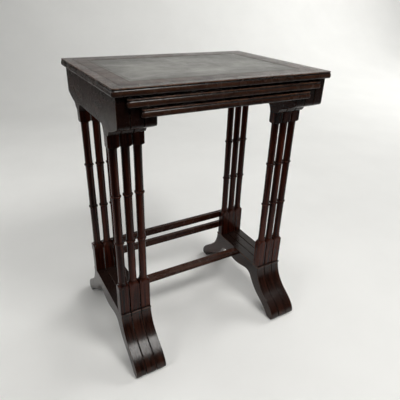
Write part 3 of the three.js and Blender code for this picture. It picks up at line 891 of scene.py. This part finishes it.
def makeTop(table):
    low, high = table["top"]
    label = table["label"]
    thickness = high.z - low.z
    middle = ((low.x + high.x) / 2, (low.y + high.y) / 2)
    halfX, halfY = (high.x - low.x) / 2, (high.y - low.y) / 2
    steps = topSizes["cornerSteps"]
    loops = []
    for inset, share, scuffedAndHighlit, shadeAndTooledLine in topSizes["edge"]:
        radius = max(topSizes["cornerRadius"] - inset, 0.001)
        points = roundedLoop(middle, halfX - inset, halfY - inset, radius, steps)
        loops.append((points, low.z + share * thickness, scuffedAndHighlit, shadeAndTooledLine))
    recessX, recessY = halfX - topSizes["recessInset"], halfY - topSizes["recessInset"]
    # The recess wall where the lining sits gets painted shade
    for drop, reach in ((0.0, 0.00005), (0.0001, 0.0), (topSizes["recessDepth"], 0.0)):
        points = roundedLoop(middle, recessX + reach, recessY + reach, 0.0001, steps)
        loops.append((points, high.z - drop, 0, 1 if drop else 0))
    mesh = stackLoops(f"{label}_top_board_moulded", loops)
    cutters = []
    for side in sideNames:
        for end in endNames:
            dowelLow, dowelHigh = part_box(f"{label}_dowel_{end}_{side}")
            centre = (dowelLow + dowelHigh) / 2
            radius = joinery["dowelRadius"] + joinery["gap"]
            cutters.append(barMesh("hole", centre, radius, low.z - 0.01, dowelHigh.z + joinery["gap"]))
    mesh = cutAway(mesh, cutters)
    addPiece(
        mesh.name, mesh, table["body"], woodMaterials["mahoganyTop"], [f"{label}_top_board"],
    )


# Leather linings, with a tooled double line round them
leatherSizes = {
    "edgeRoll": 0.0004,
    "lines": [0.0045, 0.0065],      # how far in the tooled lines run
    "lineWidth": 0.0006,
    "lineDepth": 0.00022,
    "cornerRadius": 0.0006,
}


def makeLeatherLining(table):
    label = table["label"]
    low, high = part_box(f"{label}_leather")
    middle = ((low.x + high.x) / 2, (low.y + high.y) / 2)
    halfX, halfY = (high.x - low.x) / 2, (high.y - low.y) / 2
    roll = leatherSizes["edgeRoll"]
    # The rolled edge where the lining meets the wood gets painted shade; the tooled lines are darkened
    profile = [
        (0, low.z, 0), (0, high.z - roll, 0.4), (roll * 0.3, high.z - roll * 0.3, 0.3), (roll, high.z, 0.1),
    ]
    for line in leatherSizes["lines"]:
        width = leatherSizes["lineWidth"]
        profile.append((line - width, high.z, 0))
        profile.append((line - width * 0.5, high.z - leatherSizes["lineDepth"] * 0.6, 0.7))
        profile.append((line, high.z - leatherSizes["lineDepth"], 1.0))
        profile.append((line + width * 0.5, high.z - leatherSizes["lineDepth"] * 0.6, 0.7))
        profile.append((line + width, high.z, 0))
    profile.append((leatherSizes["lines"][-1] + 0.004, high.z, 0))
    profile.append((leatherSizes["lines"][-1] + 0.03, high.z, 0))
    loops = []
    for inset, height, shadeAndTooledLine in profile:
        radius = leatherSizes["cornerRadius"]
        points = roundedLoop(middle, halfX - inset, halfY - inset, radius, 3)
        loops.append((points, height, 0, shadeAndTooledLine))
    mesh = stackLoops(f"{label}_leather_tooled", loops)
    hide = makeLeather(f"leather_{label}", leatherLook, halfX, halfY, middle[1])
    addPiece(mesh.name, mesh, table["body"], hide, [f"{label}_leather"])


# End boards under the tops
boardSizes = {
    "curveSteps": 16,
    "easing": 0.0009,
    "cornerRadius": 0.008,
    "frontDrop": 0.036,         # from the seat up to the foot of the square front corner
    "wingRootRise": 0.013,
    "wingRootReach": 0.026,
    "archRise": 0.0175,
    "archRadius": 0.013,
    "grooveClearance": 0.0012,
}


def boardOutline(table, topZ, halfDepth):
    sizes, steps = boardSizes, boardSizes["curveSteps"]
    seat, legLine, legHalf = table["seat"], table["legLine"], table["legDepth"] / 2
    frontFoot = seat + sizes["frontDrop"]
    cornerFoot = frontFoot - sizes["cornerRadius"] - 0.001
    rootY, rootZ = legLine + sizes["wingRootReach"], seat + sizes["wingRootRise"]
    outer, inner = legLine + legHalf, legLine - legHalf
    archZ, radius = seat + sizes["archRise"], sizes["archRadius"]
    points = [(0, topZ), (halfDepth, topZ), (halfDepth, frontFoot)]
    points += bend(
        points[-1], (halfDepth, cornerFoot + 0.001), (halfDepth - sizes["cornerRadius"], cornerFoot), steps,
    )
    points += bend(points[-1], ((halfDepth + rootY) / 2, rootZ + 0.006), (rootY, rootZ), steps)
    points += bezier(
        points[-1], (rootY - 0.005, rootZ - 0.004), (outer + 0.009, seat + 0.0015),
        (outer + 0.0015, seat + 0.001), steps,
    )
    points += [(outer, seat), (inner, seat)]
    points += bend(points[-1], (inner - radius * 0.2, archZ), (inner - radius, archZ), steps)
    points.append((0, archZ))
    return points


def makeEndBoard(table, side, innerTable):
    label = table["label"]
    node = f"{label}_end_board_{side}"
    low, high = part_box(node)
    outline = boardOutline(table, high.z, (high.y - low.y) / 2)
    mesh = sawnBoard(f"{node}_sawn", outline, table["middleY"], low.x, high.x, boardSizes["easing"])
    gap = joinery["gap"]
    cutters = []
    for end in endNames:
        legLow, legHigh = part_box(f"{label}_leg_{end}_{side}")
        centre = (legLow + legHigh) / 2
        cutters.append(barMesh("socket", centre, joinery["tenonRadius"] + gap, low.z - 0.01, legHigh.z + gap))
        dowelLow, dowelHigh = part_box(f"{label}_dowel_{end}_{side}")
        centre = (dowelLow + dowelHigh) / 2
        cutters.append(barMesh("hole", centre, joinery["dowelRadius"] + gap, dowelLow.z - gap, high.z + 0.01))
    if innerTable:
        spare = boardSizes["grooveClearance"]
        innerLow, innerHigh = innerTable["top"]
        reach = (innerLow.x - spare, 0.0) if side == "left" else (0.0, innerHigh.x + spare)
        lowCorner, highCorner = (reach[0], -0.4, innerLow.z - spare), (reach[1], 0.4, innerHigh.z + spare)
        cutters.append(boxMesh("groove", lowCorner, highCorner))
    mesh = cutAway(mesh, cutters)
    markSawn(mesh, low.x, high.x, boardSizes["easing"], shelteredFaces(table, side))
    addPiece(mesh.name, mesh, table["body"], woodMaterials["mahoganyBoard"], [node])


# Trestle feet
footSizes = {
    "curveSteps": 20,
    "easing": 0.00095,
    "ledge": 0.004,
    "ledgeStep": 0.002,
    "lipRound": 0.0015,
    "lipDrop": 0.0051,
    "toeReach": 0.101, "toeHeight": 0.011,
    "soleReach": 0.077, "soleEdge": 0.0945,
    "kneeReach": 0.060, "kneeHeight": 0.0565,
    "heelReach": 0.027, "heelHeight": 0.041,
    "shoulderReach": -0.018, "shoulderHeight": 0.086,
    "crownReach": -0.040, "crownHeight": 0.096,
    "centreHeight": 0.087,
    "mortiseSpare": 0.0002,
}


def footOutline(table, topZ):
    sizes, steps, line = footSizes, footSizes["curveSteps"], table["legLine"]
    ledge = line + table["legDepth"] / 2 + sizes["ledge"]
    toe, knee, heel = line + sizes["toeReach"], line + sizes["kneeReach"], line + sizes["heelReach"]
    shoulder, crown = line + sizes["shoulderReach"], line + sizes["crownReach"]
    kneeZ, toeZ, heelZ = sizes["kneeHeight"], sizes["toeHeight"], sizes["heelHeight"]
    shoulderZ, crownZ, sole = sizes["shoulderHeight"], sizes["crownHeight"], line + sizes["soleReach"]
    lip, drop = sizes["lipRound"], sizes["lipDrop"]
    points = [(0, topZ), (ledge - lip, topZ)]
    points += bend(points[-1], (ledge, topZ), (ledge, topZ - lip), 4)
    points.append((ledge, topZ - drop + lip))
    points += bend(points[-1], (ledge, topZ - drop), (ledge - lip, topZ - drop - 0.0001), 4)
    points.append((ledge - sizes["ledgeStep"], topZ - 0.0065))
    points += bezier(
        points[-1], (ledge + 0.0015, topZ - 0.036), (ledge + 0.017, kneeZ + 0.0175), (knee, kneeZ), steps,
    )
    points += bezier(
        points[-1], (knee + 0.020, kneeZ - 0.014), (toe - 0.002, toeZ + 0.018), (toe, toeZ), steps,
    )
    points += bend(points[-1], (toe, 0.001), (line + sizes["soleEdge"], 0.0), steps // 2)
    points.append((sole, 0.0))
    points += bezier(points[-1], (sole - 0.007, 0.014), (heel + 0.023, heelZ - 0.013), (heel, heelZ), steps)
    points += bezier(
        points[-1], (heel - 0.019, heelZ + 0.011), (shoulder + 0.010, shoulderZ - 0.016), (shoulder, shoulderZ),
        steps,
    )
    points += bend(points[-1], (shoulder - 0.008, crownZ), (crown, crownZ), steps // 2)
    points += bezier(
        points[-1], (crown - 0.020, crownZ), (0.025, sizes["centreHeight"]), (0.0, sizes["centreHeight"]), steps,
    )
    return points


def makeFoot(table, side):
    label = table["label"]
    node = f"{label}_foot_{side}"
    low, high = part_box(node)
    outline = footOutline(table, high.z)
    mesh = sawnBoard(f"{node}_sawn", outline, table["middleY"], low.x, high.x, footSizes["easing"])
    cutters = []
    for end in endNames:
        legLow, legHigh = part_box(f"{label}_leg_{end}_{side}")
        centre = (legLow + legHigh) / 2
        radius = joinery["tenonRadius"] + joinery["gap"]
        cutters.append(barMesh("socket", centre, radius, legLow.z - joinery["gap"], high.z + 0.01))
    if label == "small":
        spare = footSizes["mortiseSpare"]
        tenonLow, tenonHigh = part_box("small_stretcher")
        halfWidth = stretcherSizes["tenonWidth"] / 2 + spare
        middleZ = (tenonLow.z + tenonHigh.z) / 2
        halfThickness = stretcherSizes["tenonThickness"] / 2 + spare
        middleY = table["middleY"]
        cutters.append(boxMesh(
            "mortise",
            (tenonLow.x - spare, middleY - halfWidth, middleZ - halfThickness),
            (tenonHigh.x + spare, middleY + halfWidth, middleZ + halfThickness),
        ))
    mesh = cutAway(mesh, cutters)
    markSawn(mesh, low.x, high.x, footSizes["easing"], shelteredFaces(table, side))
    markLedge(mesh, high.z)
    addPiece(mesh.name, mesh, table["body"], woodMaterials["mahoganyFoot"], [node])


# The lip of the ledge gets a painted highlight, and the step under it painted shade
def markLedge(mesh, topZ):
    scuffedAndHighlit, shadeAndTooledLine = mesh.attributes["scuffedAndHighlit"], mesh.attributes["shadeAndTooledLine"]
    for vertex, litScuff, paintedShade in zip(mesh.vertices, scuffedAndHighlit.data, shadeAndTooledLine.data):
        drop = topZ - vertex.co.z
        if 0.0001 < drop < footSizes["lipDrop"]:
            litScuff.value = 1.0
        elif footSizes["lipDrop"] <= drop < footSizes["lipDrop"] + footSizes["ledgeStep"]:
            paintedShade.value = 1.0


# Stretchers
stretcherSizes = {
    "easing": 0.0012,
    "tenonWidth": 0.018,
    "tenonThickness": 0.006,
    "tenonLength": 0.0118,
    "screwRadius": 0.0022,
    "sinkRadius": 0.0042,
    "sinkDepth": 0.0024,
}


def easedBox(low, high, easing):
    work = bmesh.new()
    addBox(work, (Vector(high) + Vector(low)) / 2, Vector(high) - Vector(low))
    bmesh.ops.bevel(work, geom=work.edges[:], offset=easing, segments=3, profile=0.5, affect="EDGES")
    return work


def markEased(work, low, high, easing):
    layer = work.verts.layers.float.new("scuffedAndHighlit")
    for vertex in work.verts:
        depths = sorted(min(vertex.co[axis] - low[axis], high[axis] - vertex.co[axis]) for axis in range(3))
        vertex[layer] = 1.0 if depths[0] > easing * 0.05 or depths[1] < easing * 0.7 else 0.0


def makeStretcher(table):
    label = table["label"]
    node = f"{label}_stretcher"
    low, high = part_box(node)
    easing = stretcherSizes["easing"]
    tenon = stretcherSizes["tenonLength"] if label == "small" else 0.0
    bodyLow, bodyHigh = Vector((low.x + tenon, low.y, low.z)), Vector((high.x - tenon, high.y, high.z))
    work = easedBox(bodyLow, bodyHigh, easing)
    markEased(work, bodyLow, bodyHigh, easing)
    if tenon:
        middle = (low + high) / 2
        half = Vector((0, stretcherSizes["tenonWidth"] / 2, stretcherSizes["tenonThickness"] / 2))
        for lowX, highX in ((low.x, bodyLow.x), (bodyHigh.x, high.x)):
            place = Vector(((lowX + highX) / 2, middle.y, middle.z))
            addBox(work, place, (highX - lowX, half.y * 2, half.z * 2))
    mesh = meshFromBmesh(f"{node}_planed", work)
    if not tenon:
        cutters = []
        for side in sideNames:
            screwLow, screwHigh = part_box(f"{label}_stretcher_screw_{side}")
            cutters.append(countersink((screwLow + screwHigh) / 2, low.y, high.y))
        mesh = cutAway(mesh, cutters)
    addPiece(mesh.name, mesh, table["body"], woodMaterials["mahoganyRail"], [node])


def countersink(centre, frontY, backY):
    sizes = stretcherSizes
    radius, sink, depth = sizes["screwRadius"], sizes["sinkRadius"], sizes["sinkDepth"]
    profile = [
        (radius, frontY - 0.01), (radius, backY - 0.0005 - depth), (sink, backY - 0.0005 - 0.0003),
        (sink, backY + 0.01),
    ]
    work = bmesh.new()
    rows = []
    count = 32
    for reach, y in profile:
        rows.append([
            work.verts.new((
                centre.x + reach * math.cos(2 * math.pi * step / count),
                y,
                centre.z + reach * math.sin(2 * math.pi * step / count),
            ))
            for step in range(count)
        ])
    skinRows(work, rows)
    return meshFromBmesh("countersink", work)


# Geometry node helpers
def startTree(name, inputs):
    tree = bpy.data.node_groups.new(name, "GeometryNodeTree")
    tree.interface.new_socket("Geometry", in_out="INPUT", socket_type="NodeSocketGeometry")
    for label, kind, default in inputs:
        socket = tree.interface.new_socket(label, in_out="INPUT", socket_type=kind)
        if default is not None:
            socket.default_value = default
    tree.interface.new_socket("Geometry", in_out="OUTPUT", socket_type="NodeSocketGeometry")
    return tree, tree.nodes.new("NodeGroupInput").outputs


def endTree(tree, geometry, material):
    real = addNode(tree, "GeometryNodeRealizeInstances", {0: geometry}).outputs[0]
    finished = addNode(tree, "GeometryNodeSetMaterial", {"Geometry": real, "Material": material}).outputs[0]
    feed(tree, finished, tree.nodes.new("NodeGroupOutput").inputs[0])


def runTree(name, startMesh, tree, values):
    holder = bpy.data.objects.new(name, startMesh)
    maker = holder.modifiers.new("maker", "NODES")
    maker.node_group = tree
    for item in tree.interface.items_tree:
        if item.in_out == "INPUT" and item.name in values:
            maker[item.identifier] = values[item.name]
    bpy.context.scene.collection.objects.link(holder)
    mesh = evaluatedMesh(holder, name)
    holder.modifiers.remove(maker)
    bpy.data.objects.remove(holder)
    bpy.data.meshes.remove(startMesh)
    mesh.name = name
    work = bmesh.new()
    work.from_mesh(mesh)
    bmesh.ops.remove_doubles(work, verts=work.verts, dist=1e-6)
    bmesh.ops.recalc_face_normals(work, faces=work.faces)
    work.to_mesh(mesh)
    work.free()
    return mesh


# Turned legs: a turner's outline swept round and held inside the square stock
legSizes = {
    "sides": 64,
    "cornerCrowding": 0.72,     # how far the sides gather at the corners of the square parts
    "cornerPower": 18.0,        # higher is crisper
    "squareClear": 0.0180,
    "capHeight": 0.020, "capShoulder": 0.008,
    "blockHeight": 0.078, "blockShoulder": 0.010,
    "neckRadius": 0.0100,
    "shaftRadius": 0.0092,
    "jointRadius": 0.0095,      # the shaft swells a little towards each ring
    "ringRadius": 0.0115,
    "ringHalfHeight": 0.0027,
    "ringQuirk": 0.0084,
    "ringShares": [0.333, 0.679],
}


def legOutline(table):
    sizes = legSizes
    gap = joinery["gap"]
    blockFoot, capTop = table["footTop"] + gap, table["seat"] - gap
    blockTop, capFoot = blockFoot + sizes["blockHeight"], capTop - sizes["capHeight"]
    shaftFoot, shaftTop = blockTop + sizes["blockShoulder"], capFoot - sizes["capShoulder"]
    clear, tenon, neck = sizes["squareClear"], joinery["tenonRadius"], sizes["neckRadius"]
    tiny = 0.00005
    outline = []        # height, radius, pale scuff, painted shade in the quirks and where the leg meets foot and board

    def add(height, radius, scuffedAndHighlit=0.0, shadeAndTooledLine=0.0):
        outline.append((height, radius, scuffedAndHighlit, shadeAndTooledLine))

    footEnd, topEnd = table["footTop"] - joinery["footTenon"], table["seat"] + joinery["topTenon"]
    add(footEnd, tenon - 0.001)
    add(footEnd + 0.001, tenon)
    add(blockFoot - tiny, tenon)
    # Painted shade at the joints with foot and board, and in the quirks further up
    add(blockFoot, clear - 0.0008, 0, 0.8)
    add(blockFoot + 0.0006, clear, 0, 0.5)
    add(blockFoot + 0.003, clear, 0, 0)
    add(blockTop - 0.004, clear)
    for step in range(25):      # the shoulder rolls over from the square and sweeps in to the neck
        t = step / 24
        sweep = (1 - math.cos(math.pi * t ** 0.8)) / 2
        add(blockTop - 0.003 + t * (shaftFoot - blockTop + 0.003), clear + (neck - clear) * sweep, 0.3, 0.2 * t)
    add(shaftFoot + 0.0003, neck - 0.0008, 0, 1)
    for step in range(9):       # a small collar at the neck
        t = step / 8
        add(shaftFoot + 0.0008 + t * 0.0030, neck - 0.0006 + 0.0007 * math.sin(math.pi * t), 0.4, 0)
    add(shaftFoot + 0.0042, neck - 0.0012, 0, 1)
    reach = shaftTop - shaftFoot
    rings = [shaftFoot + share * reach for share in sizes["ringShares"]]
    stops = [shaftFoot + 0.0046] + rings + [shaftTop - 0.0008]
    half, quirk = sizes["ringHalfHeight"], sizes["ringQuirk"]
    for index, (start, finish) in enumerate(zip(stops, stops[1:])):
        start += half + 0.0012 if index > 0 else 0.0
        finish -= half + 0.0012 if index < len(rings) else 0.0
        for step in range(17):
            t = step / 16
            swell = (2 * t - 1) ** 4
            radius = sizes["shaftRadius"] + (sizes["jointRadius"] - sizes["shaftRadius"]) * swell
            add(start + t * (finish - start), radius, 0.03, 0)
        if index < len(rings):
            ring = rings[index]
            # Painted shade in the quirks either side of each ring
            add(ring - half - 0.0006, quirk, 0, 1)
            for step in range(13):
                t = step / 12 * 2 - 1
                bulge = math.sqrt(max(0.0, 1 - abs(t) ** 2.6))
                radius = quirk + 0.0004 + (sizes["ringRadius"] - quirk - 0.0004) * bulge
                add(ring + t * half, radius, 0.35 if bulge > 0.5 else 0.1, 0)
            add(ring + half + 0.0006, quirk, 0, 1)
    add(shaftTop - 0.0004, sizes["jointRadius"] - 0.0006, 0, 1)
    for step in range(1, 21):   # and out again under the cap
        t = step / 20
        sweep = math.sin(quarterTurn * t)
        height = shaftTop + (capFoot - shaftTop + 0.001) * (1 - math.cos(quarterTurn * t))
        add(height, sizes["jointRadius"] + (clear - sizes["jointRadius"]) * sweep, 0.1, 0.5 * (1 - t))
    add(capFoot + 0.002, clear)
    add(capTop - 0.003, clear)
    add(capTop - 0.0006, clear, 0, 0.5)
    add(capTop, clear - 0.0008, 0, 0.8)
    add(capTop + tiny, tenon)
    add(topEnd - 0.001, tenon)
    add(topEnd, tenon - 0.001)
    return outline


def buildTurnedTree():
    tree, given = startTree("turnedInTheSquare", [
        ("Place", vectorKind, None),
        ("Half width", numberKind, 0.0127),
        ("Half depth", numberKind, 0.011),
        ("Sides", "NodeSocketInt", 64),
        ("Crowding", numberKind, 0.7),
        ("Corner power", numberKind, 26.0),
        ("Material", "NodeSocketMaterial", None),
    ])
    axis = addNode(tree, "GeometryNodeMeshToCurve", {0: given["Geometry"]}).outputs[0]
    circle = addNode(
        tree, "GeometryNodeCurvePrimitiveCircle", {"Resolution": given["Sides"], "Radius": 0.01},
    ).outputs[0]
    tube = addNode(tree, "GeometryNodeCurveToMesh", {"Curve": axis, "Profile Curve": circle, "Fill Caps": True})
    radius, scuffedAndHighlit = (
        addNode(tree, "GeometryNodeInputNamedAttribute", {"Name": name}, data_type="FLOAT").outputs[0]
        for name in ("turnedRadius", "scuffedAndHighlit")
    )
    position = tree.nodes.new("GeometryNodeInputPosition").outputs[0]
    parts = addNode(tree, "ShaderNodeSeparateXYZ", {0: position}).outputs
    angle = compute(tree, "ARCTAN2", parts[1], parts[0])
    wave = compute(tree, "SINE", compute(tree, "MULTIPLY", angle, 4.0))
    crowding = compute(tree, "DIVIDE", given["Crowding"], 4.0)
    crowded = compute(tree, "ADD", angle, compute(tree, "MULTIPLY", wave, crowding))
    alongX = compute(tree, "MULTIPLY", compute(tree, "COSINE", crowded), given["Half width"])
    alongY = compute(tree, "MULTIPLY", compute(tree, "SINE", crowded), given["Half depth"])
    squares = (compute(tree, "MULTIPLY", along, along) for along in (alongX, alongY))
    length = compute(tree, "SQRT", compute(tree, "ADD", *squares))
    unitX, unitY = compute(tree, "DIVIDE", alongX, length), compute(tree, "DIVIDE", alongY, length)
    shareX = compute(tree, "DIVIDE", compute(tree, "ABSOLUTE", unitX), given["Half width"])
    shareY = compute(tree, "DIVIDE", compute(tree, "ABSOLUTE", unitY), given["Half depth"])
    largest = compute(tree, "MAXIMUM", shareX, shareY)
    smallest = compute(tree, "MINIMUM", shareX, shareY)
    ratio = compute(tree, "POWER", compute(tree, "DIVIDE", smallest, largest), given["Corner power"])
    root = compute(tree, "DIVIDE", 1.0, given["Corner power"])
    softening = compute(tree, "POWER", compute(tree, "ADD", ratio, 1.0), root)
    stockReach = compute(tree, "DIVIDE", compute(tree, "DIVIDE", 1.0, largest), softening)
    reach = compute(tree, "MINIMUM", radius, stockReach)
    moved = addNode(tree, "ShaderNodeCombineXYZ", {
        0: compute(tree, "MULTIPLY", unitX, reach),
        1: compute(tree, "MULTIPLY", unitY, reach),
        2: parts[2],
    }).outputs[0]
    held = compute(tree, "GREATER_THAN", radius, stockReach)
    atCorner = compute(tree, "GREATER_THAN", compute(tree, "DIVIDE", smallest, largest), 0.955)
    paleScuffAndHighlight = compute(tree, "MAXIMUM", scuffedAndHighlit, compute(tree, "MULTIPLY", held, atCorner))
    marked = addNode(
        tree, "GeometryNodeStoreNamedAttribute", {"Geometry": tube.outputs[0], "Name": "scuffedAndHighlit", "Value": paleScuffAndHighlight},
        data_type="FLOAT", domain="POINT",
    ).outputs[0]
    placed = addNode(
        tree, "GeometryNodeSetPosition", {"Geometry": marked, "Position": moved, "Offset": given["Place"]},
    ).outputs[0]
    endTree(tree, placed, given["Material"])
    return tree


def makeLegs(table, tree):
    label = table["label"]
    outline = legOutline(table)
    for side in sideNames:
        for end in endNames:
            node = f"{label}_leg_{end}_{side}"
            low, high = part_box(node)
            axis = bpy.data.meshes.new("legAxis")
            axis.from_pydata(
                [(0, 0, height) for height, *rest in outline],
                [(index, index + 1) for index in range(len(outline) - 1)],
                [],
            )
            for name, column in (("turnedRadius", 1), ("scuffedAndHighlit", 2), ("shadeAndTooledLine", 3)):
                values = [row[column] for row in outline]
                axis.attributes.new(name, "FLOAT", "POINT").data.foreach_set("value", values)
            mesh = runTree(f"{node}_turned", axis, tree, {
                "Place": ((low.x + high.x) / 2, (low.y + high.y) / 2, 0.0),
                "Half width": (high.x - low.x) / 2,
                "Half depth": (high.y - low.y) / 2,
                "Sides": legSizes["sides"],
                "Crowding": legSizes["cornerCrowding"],
                "Corner power": legSizes["cornerPower"],
                "Material": woodMaterials["mahoganyTurned"],
            })
            if f"{label}_stretcher_screw_{side}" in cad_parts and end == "back":
                screwLow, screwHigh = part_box(f"{label}_stretcher_screw_{side}")
                hole = countersink((screwLow + screwHigh) / 2, screwLow.y + 0.0098, screwHigh.y + 0.0105)
                mesh = cutAway(mesh, [hole])
            addPiece(
                mesh.name, mesh, table["body"], woodMaterials["mahoganyTurned"], [node],
            )


# Brass screws with slotted heads
screwSizes = {
    "headRadius": 0.0038,
    "headDepth": 0.0024,
    "shankRadius": 0.0019,
    "slotWidth": 0.0008,
    "slotDepth": 0.0009,
    "turnSeed": 7,
}


def buildScrewTree():
    tree, given = startTree("slottedScrews", [
        ("Head radius", numberKind, 0.0038),
        ("Head depth", numberKind, 0.0024),
        ("Shank radius", numberKind, 0.0019),
        ("Shank length", numberKind, 0.02),
        ("Slot width", numberKind, 0.0008),
        ("Slot depth", numberKind, 0.0009),
        ("Turn seed", "NodeSocketInt", 7),
        ("Material", "NodeSocketMaterial", None),
    ])
    head = addNode(tree, "GeometryNodeMeshCone", {
        "Vertices": 40, "Radius Top": given["Head radius"], "Radius Bottom": given["Shank radius"],
        "Depth": given["Head depth"],
    }).outputs[0]
    headDrop = compute(tree, "MULTIPLY", given["Head depth"], -1.0)
    headPlace = addNode(tree, "ShaderNodeCombineXYZ", {2: headDrop}).outputs[0]
    head = addNode(tree, "GeometryNodeTransform", {"Geometry": head, "Translation": headPlace}).outputs[0]
    shank = addNode(tree, "GeometryNodeMeshCylinder", {
        "Vertices": 40, "Radius": given["Shank radius"], "Depth": given["Shank length"],
    }).outputs[0]
    shankDrop = compute(tree, "ADD", compute(tree, "MULTIPLY", given["Shank length"], 0.5), given["Head depth"])
    shankDrop = compute(tree, "SUBTRACT", shankDrop, 0.0002)
    shankDrop = compute(tree, "MULTIPLY", shankDrop, -1.0)
    shankPlace = addNode(tree, "ShaderNodeCombineXYZ", {2: shankDrop}).outputs[0]
    shank = addNode(tree, "GeometryNodeTransform", {"Geometry": shank, "Translation": shankPlace}).outputs[0]
    slotSize = addNode(tree, "ShaderNodeCombineXYZ", {
        0: compute(tree, "MULTIPLY", given["Head radius"], 2.4), 1: given["Slot width"],
        2: compute(tree, "MULTIPLY", given["Slot depth"], 2.0),
    }).outputs[0]
    slot = addNode(tree, "GeometryNodeMeshCube", {"Size": slotSize}).outputs[0]
    body = addNode(tree, "GeometryNodeMeshBoolean", operation="UNION", solver="EXACT")
    tree.links.new(head, body.inputs["Mesh 2"])
    tree.links.new(shank, body.inputs["Mesh 2"])
    cut = addNode(tree, "GeometryNodeMeshBoolean", operation="DIFFERENCE", solver="EXACT")
    tree.links.new(body.outputs[0], cut.inputs["Mesh 1"])
    tree.links.new(slot, cut.inputs["Mesh 2"])
    turn = addNode(tree, "FunctionNodeRandomValue", {"Seed": given["Turn seed"]}, data_type="FLOAT")
    turn.inputs[2].default_value = 0.0
    turn.inputs[3].default_value = math.pi
    spin = addNode(tree, "ShaderNodeCombineXYZ", {2: turn.outputs[1]}).outputs[0]
    spun = addNode(tree, "FunctionNodeEulerToRotation", {0: spin}).outputs[0]
    tipped = addNode(tree, "FunctionNodeRotateRotation", {0: spun})
    lay = addNode(tree, "FunctionNodeEulerToRotation", {0: (-quarterTurn, 0.0, 0.0)}).outputs[0]
    tree.links.new(lay, tipped.inputs[1])
    placed = addNode(tree, "GeometryNodeInstanceOnPoints", {
        "Points": given["Geometry"], "Instance": cut.outputs[0], "Rotation": tipped.outputs[0],
    }).outputs[0]
    endTree(tree, placed, given["Material"])
    return tree


def makeScrews(table, tree):
    label = table["label"]
    nodes = [f"{label}_stretcher_screw_{side}" for side in sideNames]
    boxes = [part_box(node) for node in nodes]
    places = bpy.data.meshes.new("screwPlaces")
    places.from_pydata([((low.x + high.x) / 2, high.y, (low.z + high.z) / 2) for low, high in boxes], [], [])
    mesh = runTree(f"{label}_screws_slotted", places, tree, {
        "Head radius": screwSizes["headRadius"],
        "Head depth": screwSizes["headDepth"],
        "Shank radius": screwSizes["shankRadius"],
        "Shank length": boxes[0][1].y - boxes[0][0].y - screwSizes["headDepth"] - 0.0004,
        "Slot width": screwSizes["slotWidth"],
        "Slot depth": screwSizes["slotDepth"],
        "Turn seed": screwSizes["turnSeed"],
        "Material": brassMaterial,
    })
    addPiece(mesh.name, mesh, table["body"], brassMaterial, nodes)


# Make every table
tables = [readTable(label) for label in tableNames]
turnedTree = buildTurnedTree()
screwTree = buildScrewTree()
for index, table in enumerate(tables):
    innerTable = tables[index + 1] if index + 1 < len(tables) else None
    makeTop(table)
    makeLeatherLining(table)
    for side in sideNames:
        makeEndBoard(table, side, innerTable)
        makeFoot(table, side)
    makeStretcher(table)
    makeLegs(table, turnedTree)
    if table["label"] != "small":
        makeScrews(table, screwTree)
    print("stage:", table["label"], "table made")


# Finishes on the frame's own inlay and dowels
def dress(node, material):
    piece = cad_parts[node]
    for place in piece.material_slots:
        place.material = material


for table in tables:
    label = table["label"]
    bandLow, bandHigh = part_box(f"{label}_crossbanding")
    middleY = (bandLow.y + bandHigh.y) / 2
    halfY = (bandHigh.y - bandLow.y) / 2
    banding = makeCrossbanding(f"crossbanding_{label}", bandLook, bandHigh.x, halfY, middleY)
    dress(f"{label}_crossbanding", banding)
    dress(f"{label}_outer_line", makeLine(f"outerLine_{label}", lineLook, "ebony", 0.0, 0.0, middleY))
    lineLow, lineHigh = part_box(f"{label}_inner_line")
    split = lineLook["ebonyWidth"]
    splitX, splitY = lineHigh.x - split, (lineHigh.y - lineLow.y) / 2 - split
    dress(f"{label}_inner_line", makeLine(f"innerLine_{label}", lineLook, "boxwood", splitX, splitY, middleY))
    for side in sideNames:
        for end in endNames:
            dress(f"{label}_dowel_{end}_{side}", beechMaterial)
print("stage: inlay and dowels dressed")


# Floor that sweeps up into a wall behind
def makeSweep(look):
    reach, radius = look["floorReach"], look["sweepRadius"]
    line = [(-reach, 0.0), (look["sweepStart"], 0.0)]
    for step in range(1, 17):
        angle = step / 16 * quarterTurn
        line.append((look["sweepStart"] + radius * math.sin(angle), radius * (1 - math.cos(angle))))
    line.append((line[-1][0], look["wallHeight"]))
    vertices = [(side * reach, y, z) for y, z in line for side in (-1, 1)]
    faces = [(2 * index, 2 * index + 1, 2 * index + 3, 2 * index + 2) for index in range(len(line) - 1)]
    mesh = bpy.data.meshes.new("studioSweep")
    mesh.from_pydata(vertices, [], faces)
    mesh.shade_smooth()
    mesh.materials.append(makeFloor("paleFloor", look))
    sweep = bpy.data.objects.new("studioSweep", mesh)
    bpy.context.scene.collection.objects.link(sweep)


makeSweep(studio)
